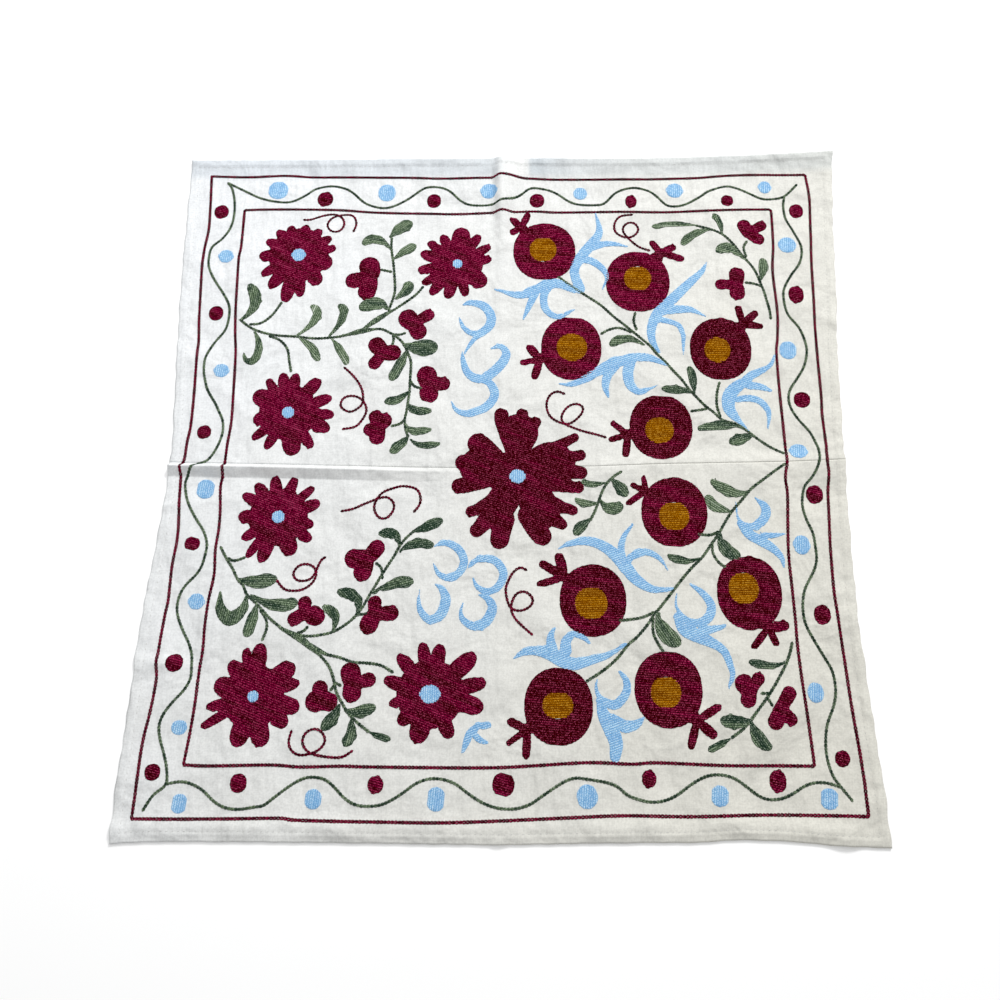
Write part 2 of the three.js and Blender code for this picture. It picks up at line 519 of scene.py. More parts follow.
def new_group(name: str, inputs: dict[str, tuple[str, object]], outputs: dict[str, str]) -> Nodes:
    """Makes a shader node group with named sockets.

    Args:
        name: The group's name.
        inputs: The kind and first value of each input.
        outputs: The kind of each output.

    Returns:
        The helper for its tree.
    """
    tree = bpy.data.node_groups.new(name, "ShaderNodeTree")
    nodes = Nodes(tree)
    for label, (kind, value) in inputs.items():
        socket = tree.interface.new_socket(label, in_out="INPUT", socket_type=kind)
        socket.default_value = (*value, 1.0) if isinstance(value, tuple) else value
    for label, kind in outputs.items():
        tree.interface.new_socket(label, in_out="OUTPUT", socket_type=kind)
    return nodes


def silk_group() -> bpy.types.NodeTree:
    """Builds the look of silk thread: painted shade in its grooves, its twist, painted highlights and its
    uneven dye.
    """
    colour = "NodeSocketColor"
    grey = (0.5, 0.5, 0.5)
    nodes = new_group(
        "silk_thread",
        {"Groove": (colour, grey), "Deep": (colour, grey), "Light": (colour, grey), "Fleck": (colour, grey),
         "Ply": ("NodeSocketFloat", 0.5)},
        {"Color": colour, "Roughness": "NodeSocketFloat", "Height": "NodeSocketFloat"},
    )
    given = nodes.add("NodeGroupInput").outputs
    part = nodes.add("ShaderNodeSeparateXYZ", in_Vector=nodes.attribute("thread", "Vector")).outputs
    tone = nodes.attribute("tone")
    place = nodes.add("ShaderNodeTexCoord").outputs["Object"]
    slubs = nodes.noise(place, 420.0, 3.0)
    glint = nodes.noise(place, 620.0)
    dye = nodes.noise(place, 38.0)
    twist = nodes.times(part["X"], 1.9)
    turns = nodes.plus(twist, nodes.times(part["Y"], 5.2))
    strands = nodes.math("MULTIPLY_ADD", nodes.math("SINE", turns), 0.5, 0.5)
    shade = nodes.plus(tone, nodes.times(nodes.math("SUBTRACT", dye, 0.5), 0.9))
    body = nodes.mix(nodes.ramp(shade, 0.1, 0.9), given["Deep"], given["Light"])
    # Painted shade: darker where the thread sinks into the cloth, between its plies and in random specks
    crest = nodes.ramp(part["Z"], 0.0, 0.95)
    ply = nodes.plus(0.62, nodes.times(strands, given["Ply"]))
    unshaded = nodes.times(crest, ply)
    sunk = nodes.math("SUBTRACT", 1.0, nodes.times(nodes.ramp(glint, 0.5, 0.36), 0.8))
    laid = nodes.mix(nodes.times(unshaded, sunk), given["Groove"], body)
    # Painted highlights: glints on the crests, and ties whose tone is above 1
    lit = nodes.times(nodes.ramp(glint, 0.52, 0.64), nodes.ramp(part["Z"], 0.2, 0.6))
    bright = nodes.times(nodes.ramp(tone, 1.0, 1.5), nodes.ramp(part["Z"], 0.1, 0.7))
    share = nodes.math("MAXIMUM", nodes.times(lit, 0.28), nodes.times(bright, 0.95))
    highlighted = nodes.mix(share, laid, given["Fleck"])
    rough = nodes.plus(0.42, nodes.times(slubs, 0.22))
    height = nodes.plus(nodes.times(strands, 0.7), nodes.times(slubs, 0.5))
    out = nodes.add("NodeGroupOutput")
    for label, value in (("Color", highlighted), ("Roughness", rough), ("Height", height)):
        nodes.feed(out, label, value)
    return nodes.tree


def weave_group() -> bpy.types.NodeTree:
    """Builds the look of plain weave: its yarns, its slubs, its soft crumples, and a painted falloff of
    light.
    """
    nodes = new_group(
        "plain_weave",
        {"Yarn": ("NodeSocketFloat", 0.75)},
        {"Shade": "NodeSocketFloat", "Age": "NodeSocketFloat", "Weave": "NodeSocketFloat",
         "Crumple": "NodeSocketFloat"},
    )
    given = nodes.add("NodeGroupInput").outputs
    place = nodes.add("ShaderNodeTexCoord").outputs["Object"]
    part = nodes.add("ShaderNodeSeparateXYZ", in_Vector=place).outputs
    turns = nodes.math("DIVIDE", math.pi / MM, given["Yarn"])
    wander = nodes.noise(place, 60.0)
    drift = nodes.times(nodes.math("SUBTRACT", wander, 0.5), 0.004)
    across = nodes.math("SINE", nodes.times(nodes.plus(part["X"], drift), turns))
    along = nodes.math("SINE", nodes.times(nodes.plus(part["Y"], drift), turns))
    weave = nodes.times(across, along)
    stretched = nodes.add("ShaderNodeMapping", in_Vector=place, in_Scale=(640.0, 80.0, 1.0)).outputs[0]
    warp_slub = nodes.noise(stretched, 1.0)
    stretched = nodes.add("ShaderNodeMapping", in_Vector=place, in_Scale=(80.0, 640.0, 1.0)).outputs[0]
    weft_slub = nodes.noise(stretched, 1.0)
    slubs = nodes.plus(warp_slub, weft_slub)
    mottle = nodes.noise(place, 7.0, 5.0)
    grain = nodes.noise(place, 380.0)
    shade = nodes.plus(nodes.times(slubs, 0.25), nodes.times(grain, 0.5))
    soft = nodes.noise(place, 11.0, 3.5, in_Roughness=0.5, in_Distortion=0.3)
    turned = nodes.add("ShaderNodeMapping", in_Vector=place, in_Rotation=(0.0, 0.0, 0.7),
                       in_Scale=(44.0, 11.0, 1.0)).outputs[0]
    drawn = nodes.noise(turned, 1.0)
    crumple = nodes.plus(soft, nodes.times(drawn, 0.3))
    # Painted falloff of light: a share that grows towards the right front, darkening the cotton there
    slant = nodes.math("SUBTRACT", part["X"], nodes.times(part["Y"], 0.45))
    falloff = nodes.ramp(nodes.plus(slant, nodes.times(mottle, 0.3)), -0.6, 0.85)
    out = nodes.add("NodeGroupOutput")
    woven = nodes.plus(weave, slubs)
    for label, value in (("Shade", shade), ("Age", falloff), ("Weave", woven), ("Crumple", crumple)):
        nodes.feed(out, label, value)
    return nodes.tree


class Dyer:
    """Makes each finish's material once."""

    def __init__(self) -> None:
        """Builds the groups that the materials share."""
        self.silk = silk_group()
        self.weave = weave_group()
        self.made: dict[str, bpy.types.Material] = {}

    def start(self, name: str) -> tuple[Nodes, bpy.types.Node]:
        """Starts a material.

        Args:
            name: The material's name.

        Returns:
            The helper for its tree, and its shader.
        """
        material = bpy.data.materials.new(name)
        material.use_nodes = True
        nodes = Nodes(material.node_tree)
        shader = nodes.add("ShaderNodeBsdfPrincipled")
        nodes.add("ShaderNodeOutputMaterial", in_Surface=shader.outputs[0])
        self.made[name] = material
        return nodes, shader

    def thread(self, finish: SilkFinish) -> bpy.types.Material:
        """Makes or finds the material of silk thread.

        Args:
            finish: The silk.

        Returns:
            The material.
        """
        if finish.name not in self.made:
            nodes, shader = self.start(finish.name)
            group = nodes.add("ShaderNodeGroup", node_tree=self.silk)
            for label in ("Groove", "Deep", "Light", "Fleck"):
                nodes.feed(group, label, (*getattr(finish, label.lower()), 1.0))
            nodes.feed(shader, "Base Color", group.outputs["Color"])
            nodes.feed(shader, "Roughness", group.outputs["Roughness"])
            nodes.feed(shader, "Normal", nodes.bump(finish.bump, group.outputs["Height"]))
            shader.inputs["Specular IOR Level"].default_value = finish.specular
        return self.made[finish.name]

    def cotton(self, finish: CottonFinish) -> bpy.types.Material:
        """Makes or finds the material of plain woven cotton.

        Args:
            finish: The cotton.

        Returns:
            The material.
        """
        if finish.name not in self.made:
            nodes, shader = self.start(finish.name)
            group = nodes.add("ShaderNodeGroup", node_tree=self.weave)
            group.inputs["Yarn"].default_value = finish.yarn_mm
            # Painted falloff of light towards the right front
            with_falloff = nodes.mix(group.outputs["Age"], finish.light, finish.aged)
            # Painted shade on the back rim and beside the upright fold
            painted_shade_colour = nodes.add("ShaderNodeVectorMath", operation="MULTIPLY", in_0=with_falloff, in_1=finish.soil)
            body = nodes.mix(nodes.attribute("soil"), with_falloff, painted_shade_colour.outputs[0])
            dull = nodes.add("ShaderNodeVectorMath", operation="SCALE", in_0=body, in_Scale=finish.shade)
            shade = nodes.ramp(group.outputs["Shade"], 0.38, 0.62)
            nodes.feed(shader, "Base Color", nodes.mix(shade, dull.outputs[0], body))
            crumple = nodes.bump(finish.crumple_bump, group.outputs["Crumple"])
            weave = nodes.bump(finish.weave_bump, group.outputs["Weave"], in_Normal=crumple)
            nodes.feed(shader, "Normal", weave)
            shader.inputs["Roughness"].default_value = finish.roughness
            shader.inputs["Specular IOR Level"].default_value = finish.specular
            shader.inputs["Sheen Weight"].default_value = finish.sheen
        return self.made[finish.name]


# Cotton panels


@dataclass(frozen=True)
class ClothPanel:
    """One cotton panel with its turned hem, as a thin closed sheet on the cloth's folds.

    The grid lines are tables of a place and the widest step from there on, in millimetres. The painted rim
    shade is a table of places across the upright fold and how far the back rim is greyed there, as painted
    shade.
    """

    cloth: ClothShape
    dyer: Dyer
    panel: Panel
    columns: Rows = (
        (-490, 2.5), (-480, 1.5), (-478.5, 6), (-430, 8), (-100, 5), (-40, 2.5), (-20, 1.6), (12, 2.6),
        (50, 5), (100, 8), (430, 6), (478.5, 1.5), (480, 2.5), (490, 1),
    )
    back_rows: Rows = (
        (0, 1.2), (12, 3), (40, 7), (300, 6), (480, 4.5), (493.5, 1.5), (495, 2.5), (505, 1),
    )
    front_rows: Rows = (
        (0, 1.1), (22, 4), (90, 8), (255, 3.6), (306, 8), (440, 5), (478, 2.6), (491.5, 1.5),
        (493, 2.5), (503, 1),
    )
    soil: Rows = (
        (-500, 0.62), (-60, 0.66), (-12, 0.7), (4, 0.15), (40, 0.1), (47, 0.95), (75, 0.85), (120, 0.6),
        (520, 0.62),
    )
    soil_edge: Pair = (24.0, 40.0)
    end_phase: float = 90.0

    def build(self) -> Piece:
        """Builds and dresses the panel.

        Returns:
            The panel.
        """
        cloth, back = self.cloth, self.panel is Panel.BACK
        rows = stepped(self.back_rows if back else self.front_rows)
        column, row = np.meshgrid(stepped(self.columns), rows if back else rows[::-1])
        x, y = cloth.place(column, row, self.panel)
        depth = cloth.back_depth if back else cloth.front_depth
        from_side, from_end = cloth.half_width - np.abs(column), depth - row
        from_edge = np.minimum(from_side, from_end)
        hem = np.clip((cloth.hem_width + cloth.hem_step - from_edge) / cloth.hem_step, 0, 1)
        low = cloth.lift(x, y) + cloth.crumples(x, y) * smooth(from_edge, 0, cloth.rim_calm)
        high = low + cloth.thickness + (cloth.hem_thickness - cloth.thickness) * hem
        (seam_drop, seam_reach), (rim_drop, rim_reach) = cloth.seam_round, cloth.rim_round
        high -= (seam_drop * (1 - smooth(row, 0, seam_reach))
                 + rim_drop * (1 - smooth(from_edge, 0, rim_reach)))
        level = np.stack([low, high])
        reach = cloth.ripple_reach
        beside = np.sign(column) * cloth.side_ripple * cloth.ripple(y) * (1 - smooth(from_side, 0, reach))
        wander = cloth.end_ripple * cloth.ripple(x + self.end_phase)
        beyond = self.panel.value * wander * (1 - smooth(from_end, 0, reach))
        x, y = x + beside, y + beyond
        flat = np.stack([x - cloth.middle[0], y - cloth.middle[1]], -1)
        points = np.concatenate([np.broadcast_to(flat, (2, *flat.shape)), level[..., None]], -1)
        name = self.panel.name.lower()
        piece = mesh_object(f"cloth_{name}", points.reshape(-1, 3) * MM, self.faces(x.shape))
        spread_map(piece)
        # Painted shade on the back rim, varying across the facets of the upright fold
        from_fold = x - along_table(cloth.middle_fold_line, 1, y)
        soil = (1 - smooth(from_end, *self.soil_edge)) * along_table(self.soil, 1, from_fold) * back
        add_attribute(piece, "soil", "FLOAT", np.stack([soil, soil]))
        piece.data.materials.append(self.dyer.cotton(COTTON))
        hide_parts(f"panel_{name}")
        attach(piece, "root")
        return piece

    @staticmethod
    def faces(shape: tuple[int, int]) -> Array:
        """Joins the grid's points to a closed sheet.

        Args:
            shape: How many points the grid has from front to back and from side to side.

        Returns:
            The triangles of its underside, its rim and its face, in that order.
        """
        deep, wide = shape
        index = np.arange(deep * wide).reshape(deep, wide)
        a, b = index[:-1, :-1].ravel(), index[:-1, 1:].ravel()
        c, d = index[1:, :-1].ravel(), index[1:, 1:].ravel()
        layer = deep * wide
        rim = [index[0], index[:, -1], index[-1, ::-1], index[::-1, 0]]
        start = np.concatenate([part[:-1] for part in rim])
        end = np.concatenate([part[1:] for part in rim])
        rim_faces = triangles((start, end, end + layer), (start, end + layer, start + layer))
        return np.concatenate([triangles((a, d, b), (a, c, d)), rim_faces,
                               triangles((a, b, d), (a, d, c)) + layer])


# Threads


# The least distance between two rings of a laid thread, in millimetres
LEAST_STEP = 0.02
# The corners of one chain stitch: how far along the stitch, how far across it and how high, as shares
LOOP = np.array([(-0.08, 0, 0.5), (0.3, 0.7, 0.8), (0.76, 0.86, 0.95), (1.1, 0, 1.05), (0.76, -0.86, 0.95),
                 (0.3, -0.7, 0.8)])
LOOP_MIDDLE = (0.55, 0)
# How far the thread stands out at each corner of a chain stitch, which shades it where it enters the cloth
LOOP_OUT = (0.1, 0.6, 1, 1, 1, 0.6)
# The corners of a tie, which are its two ends, its top and its two sides: along, across and standing out
TIE_THREAD = ((0, 1, 0), (2, -1, 0), (1, 0, 0.86), (1, 0.5, 0.3), (1, -0.5, 0.3))
TIE_UNDER = np.array([[3, 1, 4], [3, 4, 0]])
TIE_OVER = np.array([[3, 0, 2], [0, 4, 2], [4, 1, 2], [1, 3, 2]])


@lru_cache(maxsize=None)
def laid_faces(rings: int) -> tuple[Array, Array]:
    """Joins the points of a laid thread, which has pointed ends.

    Args:
        rings: How many rings it has.

    Returns:
        The triangles of its underside, and those of its two sides.
    """
    left = 3 * np.arange(rings - 1)
    top, right = left + 1, left + 2
    left_on, top_on, right_on = left + 3, left + 4, left + 5
    start, end, last = 3 * rings, 3 * rings + 1, 3 * rings - 3
    under = triangles((left, left_on, right_on), (left, right_on, right))
    over = triangles((left, top_on, left_on), (left, top, top_on), (right, right_on, top_on),
                     (right, top_on, top))
    under_ends = [[start, 0, 2], [end, last + 2, last]]
    over_ends = [[start, 1, 0], [start, 2, 1], [end, last, last + 1], [end, last + 1, last + 2]]
    return np.concatenate([under, under_ends]), np.concatenate([over, over_ends])


@dataclass
class Row:
    """Where one laid thread runs: its ends, its rings, and the ends of its two sides.

    A ring is one cross section of the thread, with a corner on its left, one on top and one on its right.
    """

    origin: Array
    ahead: Array
    side: Array
    span: Pair
    left: Pair
    right: Pair
    places: Array
    width: float

    def side_places(self, ends: Pair) -> Array:
        """Where the rings meet one side, in order.

        Args:
            ends: The side's ends, between which they are kept.

        Returns:
            The places along the row.
        """
        count = len(self.places)
        step = LEAST_STEP * np.arange(count)
        found = np.clip(self.places, ends[0] + step, ends[1] - step[::-1])
        found[0], found[-1] = ends
        return found if count > 1 else np.array([sum(ends) / 2])

    def point(self, along: Array, across: float) -> Array:
        """Points on the cloth at places along the row."""
        return self.origin + along[:, None] * self.ahead + across * self.side


@lru_cache(maxsize=None)
def link_faces() -> tuple[Array, Array]:
    """Joins the points of one chain stitch.

    Returns:
        The triangles of its underside, and those of its outer and inner slopes.
    """
    turn = np.arange(len(LOOP))
    after = (turn + 1) % len(LOOP)
    outer, top, inner = 3 * turn, 3 * turn + 1, 3 * turn + 2
    outer_on, top_on, inner_on = 3 * after, 3 * after + 1, 3 * after + 2
    under = triangles((inner_on, inner, outer), (outer_on, inner_on, outer))
    over = triangles((top_on, outer_on, outer), (top, top_on, outer), (top_on, top, inner),
                     (inner_on, top_on, inner))
    return under, over


@dataclass
class ThreadWork:
    """Gathers the threads of one piece of embroidery and joins them into one mesh.

    The dips are heights of ends and edges from the cloth's face, and a tie's top and sides are heights from
    the thread under it, in millimetres, as are its slant and its half width. Its cover and a link's sizes
    are shares of the width. The tones are how much links differ, and how much lighter the light ones are.
    """

    cloth: ClothShape
    laid_dip: float = -0.12
    tie_dip: float = -0.1
    tie_slant: float = 0.6
    tie_half: float = 0.52
    tie_cover: float = 0.46
    tie_top: float = 0.34
    tie_side: float = -0.12
    link_dip: float = -0.1
    link_round: float = 1.13
    link_rise: float = 0.26
    link_flat: float = 0.8
    link_sizes: Pair = (0.88, 1.12)
    link_tone: float = 0.6
    light_link: float = 0.2
    light_tone: float = 0.5
    sharp_from: float = 80.0
    count: int = 0
    flat: list[Array] = field(default_factory=list)
    lift: list[Array] = field(default_factory=list)
    thread: list[Array] = field(default_factory=list)
    tone: list[Array] = field(default_factory=list)
    under: list[Array] = field(default_factory=list)
    over: list[Array] = field(default_factory=list)

    def add(self, flat: Array, lift: Array, thread: Array, tone: Array,
            under: Array, over: Array) -> None:
        """Adds one thread, or many alike.

        Args:
            flat: Its points across and along the cloth, in millimetres.
            lift: Their heights above the cloth's face.
            thread: At each point, the place along the thread, across it, and how far it stands out.
            tone: At each point, how light the dye is, from 0 to 1, and above 1 for a painted highlight.
            under: The triangles that face the cloth.
            over: The triangles that show.
        """
        stores = (self.flat, self.lift, self.thread, self.tone)
        for store, values in zip(stores, (flat, lift, thread, tone)):
            store.append(np.asarray(values, float))
        self.under.append(under + self.count)
        self.over.append(over + self.count)
        self.count += len(flat)

    def add_copies(self, flat: Array, lift: Array, thread: Array, tone: Array,
                   under: Array, over: Array) -> None:
        """Adds many stitches of the same make, given the tone and the triangles of one each.

        Args:
            flat: The points of all the stitches across and along the cloth, stitch by stitch.
            lift: Their heights above the cloth's face.
            thread: At each point, the place along the thread, across it, and how far it stands out.
            tone: How light the dye is, for each stitch.
            under: The triangles of one stitch that face the cloth.
            over: The triangles of one stitch that show.
        """
        corners = len(flat) // len(tone)
        step = corners * np.arange(len(tone))[:, None, None]
        self.add(flat, lift, thread, np.repeat(tone, corners), (under + step).reshape(-1, 3),
                 (over + step).reshape(-1, 3))

    def laid(self, row: Row, high: Array, tone: Array) -> None:
        """Adds a laid thread, with its ends dipping into the cloth.

        Args:
            row: Where the thread runs.
            high: The thread's height at each ring.
            tone: How light the dye is at each ring.
        """
        rings = len(row.places)
        flat = np.empty((3 * rings + 2, 2))
        flat[0:-2:3] = row.point(row.side_places(row.left), row.width / 2)
        flat[1:-2:3] = row.point(row.places, 0)
        flat[2:-2:3] = row.point(row.side_places(row.right), -row.width / 2)
        flat[-2:] = row.point(np.array(row.span), 0)
        lift = np.full(3 * rings + 2, self.laid_dip)
        lift[1:-2:3] = high
        thread = np.zeros((3 * rings + 2, 3))
        thread[:-2, 0] = np.repeat(row.places, 3)
        thread[-2:, 0] = row.span
        thread[0:-2:3, 1], thread[2:-2:3, 1] = 1, -1
        thread[1:-2:3, 2] = high
        tones = np.append(np.repeat(tone, 3), [tone[0], tone[-1]])
        self.add(flat, lift, thread, tones, *laid_faces(rings))

    def ties(self, middle: Array, ahead: Array, side: Array, high: float, width: float,
             tone: Array) -> None:
        """Adds the small slanted stitches that hold laid threads down.

        Args:
            middle: Where each crosses its thread.
            ahead: The direction of the threads.
            side: The direction across them.
            high: The height of the thread under the stitch.
            width: The width that the stitch crosses.
            tone: How light the dye is, for each stitch.
        """
        slant, half = self.tie_slant * ahead, self.tie_half * ahead
        reach = side * width * self.tie_cover
        shape = np.stack([reach + slant, -reach - slant, 0 * ahead, half, -half])
        flat = (middle[:, None] + shape[None]).reshape(-1, 2)
        edge = high + self.tie_side
        lift = np.tile([self.tie_dip, self.tie_dip, high + self.tie_top, edge, edge], len(middle))
        thread = np.tile(TIE_THREAD, (len(middle), 1))
        self.add_copies(flat, lift, thread, tone, TIE_UNDER, TIE_OVER)

    def chain(self, route: Array, line: Line, link: float, tone: float,
              rng: np.random.Generator) -> None:
        """Adds a line of chain stitch.

        Args:
            route: Points close together along the line.
            line: The kind of line.
            link: The length of a stitch.
            tone: How light the dye is.
            rng: The source of small differences.
        """
        length = np.concatenate([[0], np.cumsum(np.hypot(*np.diff(route, axis=0).T))])
        count = max(1, round(length[-1] / link))
        stops = np.linspace(0, length[-1], count + 1)
        knots = np.stack([np.interp(stops, length, route[:, axis]) for axis in (0, 1)], 1)
        ahead = np.diff(knots, axis=0)
        pitch = np.hypot(*ahead.T)[:, None]
        ahead = ahead / pitch
        side = np.stack([-ahead[:, 1], ahead[:, 0]], 1)
        away = LOOP[:, :2] - np.array(LOOP_MIDDLE)
        away /= np.hypot(*away.T)[:, None]
        outwards = np.array([1, 0, -1])
        width, share = line.value
        half, thick = self.link_round * (0.5 - share) * width, share * width
        size = rng.uniform(*self.link_sizes, (count, 1, 1))
        sideways = LOOP[None, :, 1:2] * half * size + outwards * away[:, 1:2] * thick
        forward = LOOP[None, :, :1] * pitch[:, None] + outwards * away[:, :1] * thick * self.link_flat
        flat = (knots[:-1, None, None] + ahead[:, None, None] * forward[..., None]
                + side[:, None, None] * sideways[..., None]).reshape(-1, 2)
        high = LOOP[None, :, 2:] * width * self.link_rise * size
        dip = np.full(high.shape, self.link_dip)
        lift = np.stack([dip, high, dip], 2).reshape(-1)
        part = np.zeros((count, len(LOOP), 3, 3))
        part[..., 0] = (np.arange(len(LOOP)) * 1.3)[None, :, None]
        part[..., 1] = outwards
        part[..., 1, 2] = np.array(LOOP_OUT)
        tones = tone + rng.uniform(-self.link_tone, self.link_tone, count)
        tones = np.minimum(tones + self.light_tone * (rng.random(count) < self.light_link), 1.0)
        self.add_copies(flat, lift, part.reshape(-1, 3), tones, *link_faces())

    def finish(self, name: str, finish: SilkFinish, dyer: Dyer) -> Piece:
        """Joins the gathered threads into one piece on the cloth's face.

        Args:
            name: The piece's name.
            finish: The thread that it is worked in.
            dyer: The maker of materials.

        Returns:
            The piece.
        """
        flat = np.concatenate(self.flat)
        high = self.cloth.top(flat[:, 0], flat[:, 1]) + np.concatenate(self.lift)
        points = np.column_stack([flat - self.cloth.middle, high]) * MM
        piece = mesh_object(name, points, np.concatenate(self.under + self.over))
        piece.data.set_sharp_from_angle(angle=math.radians(self.sharp_from))
        spread_map(piece)
        add_attribute(piece, "thread", "FLOAT_VECTOR", np.concatenate(self.thread))
        add_attribute(piece, "tone", "FLOAT", np.concatenate(self.tone))
        piece.data.materials.append(dyer.thread(finish))
        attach(piece, "root")
        LOG.info("%s: %d triangles", name, len(piece.data.polygons))
        return piece


# Motifs


def curve_through(points: Array, step: float = 1.0) -> Array:
    """Draws a smooth curve through a few points.

    Args:
        points: The points, whose further columns are carried along.
        step: How far apart the points of the curve may be.

    Returns:
        Points close together along the curve.
    """
    points = np.asarray(points, float)
    padded = np.concatenate([2 * points[:1] - points[1:2], points, 2 * points[-1:] - points[-2:-1]])
    found = []
    for before, here, after, beyond in zip(padded, padded[1:], padded[2:], padded[3:]):
        count = max(2, math.ceil(float(np.hypot(*(after - here)[:2])) / step))
        t = np.linspace(0, 1, count, endpoint=False)[:, None]
        square = (2 * before - 5 * here + 4 * after - beyond) * t ** 2
        cube = (3 * here - before - 3 * after + beyond) * t ** 3
        found.append(0.5 * (2 * here + (after - before) * t + square + cube))
    return np.concatenate([*found, points[-1:]])


@dataclass
class Motif:
    """A filled shape: brush strokes and rounds, with a round place left open for another colour.

    The angle is that of its rows, in degrees, the tone is how light its dye is, and shortest is the length
    in millimetres below which no row is laid.
    """

    strokes: list[Array] = field(default_factory=list)
    rounds: list[tuple[float, ...]] = field(default_factory=list)
    open_place: tuple[float, ...] | None = None
    angle: float = 0.0
    tone: float = 0.5
    shortest: float = 3.2

    def stroke(self, points: object) -> None:
        """Adds a stroke through points that each have a width as their third number."""
        self.strokes.append(curve_through(np.asarray(points, float)))

    def holds(self, x: Array, y: Array) -> Array:
        """Finds which places are inside the shape.

        Args:
            x: Places across the cloth.
            y: Places along the cloth.

        Returns:
            Whether each place is inside.
        """
        inside = np.zeros(x.shape, bool)
        for path in self.strokes:
            gap = np.hypot(x[..., None] - path[:, 0], y[..., None] - path[:, 1]) - path[:, 2] / 2
            inside |= gap.min(-1) < 0
        for shape in self.rounds:
            inside |= in_round(shape, x, y)
        if self.open_place:
            inside &= ~in_round(self.open_place, x, y)
        return inside

    def box(self) -> tuple[Array, Array]:
        """The middle of the shape and how far it reaches from there."""
        low, high = [], []
        for path in self.strokes:
            low.append((path[:, :2] - path[:, 2:] / 2).min(0))
            high.append((path[:, :2] + path[:, 2:] / 2).max(0))
        for shape in self.rounds:
            reach = max(shape[2:4])
            low.append(np.array(shape[:2]) - reach)
            high.append(np.array(shape[:2]) + reach)
        low, high = np.min(low, 0), np.max(high, 0)
        return (low + high) / 2, np.hypot(*(high - low)) / 2 + 1


# How full a round is: a plain ellipse, or one whose sides are a little fuller
PLAIN, FRUIT_HEART, FRUIT, DOT = 2.0, 2.1, 2.15, 2.2
# The angle of the rows of the small burgundy work and of the blue dots, in degrees
RED_ANGLE, BLUE_ANGLE = -15.0, 85.0
# The shortest row of a leaf or scroll, and of a dot, in millimetres
SHORTEST_LEAF, SHORTEST_DOT = 1.6, 5.5
# How far the work of one colour reaches under the round of another that lies in it, in millimetres
UNDERLAP = 1.2


def in_round(shape: tuple[float, ...], x: Array, y: Array) -> Array:
    """Whether each place is inside an ellipse, given by centre, radii and fullness, which is 2 if plain."""
    centre_x, centre_y, across, along, full = shape
    return (np.abs((x - centre_x) / across) ** full + np.abs((y - centre_y) / along) ** full) < 1


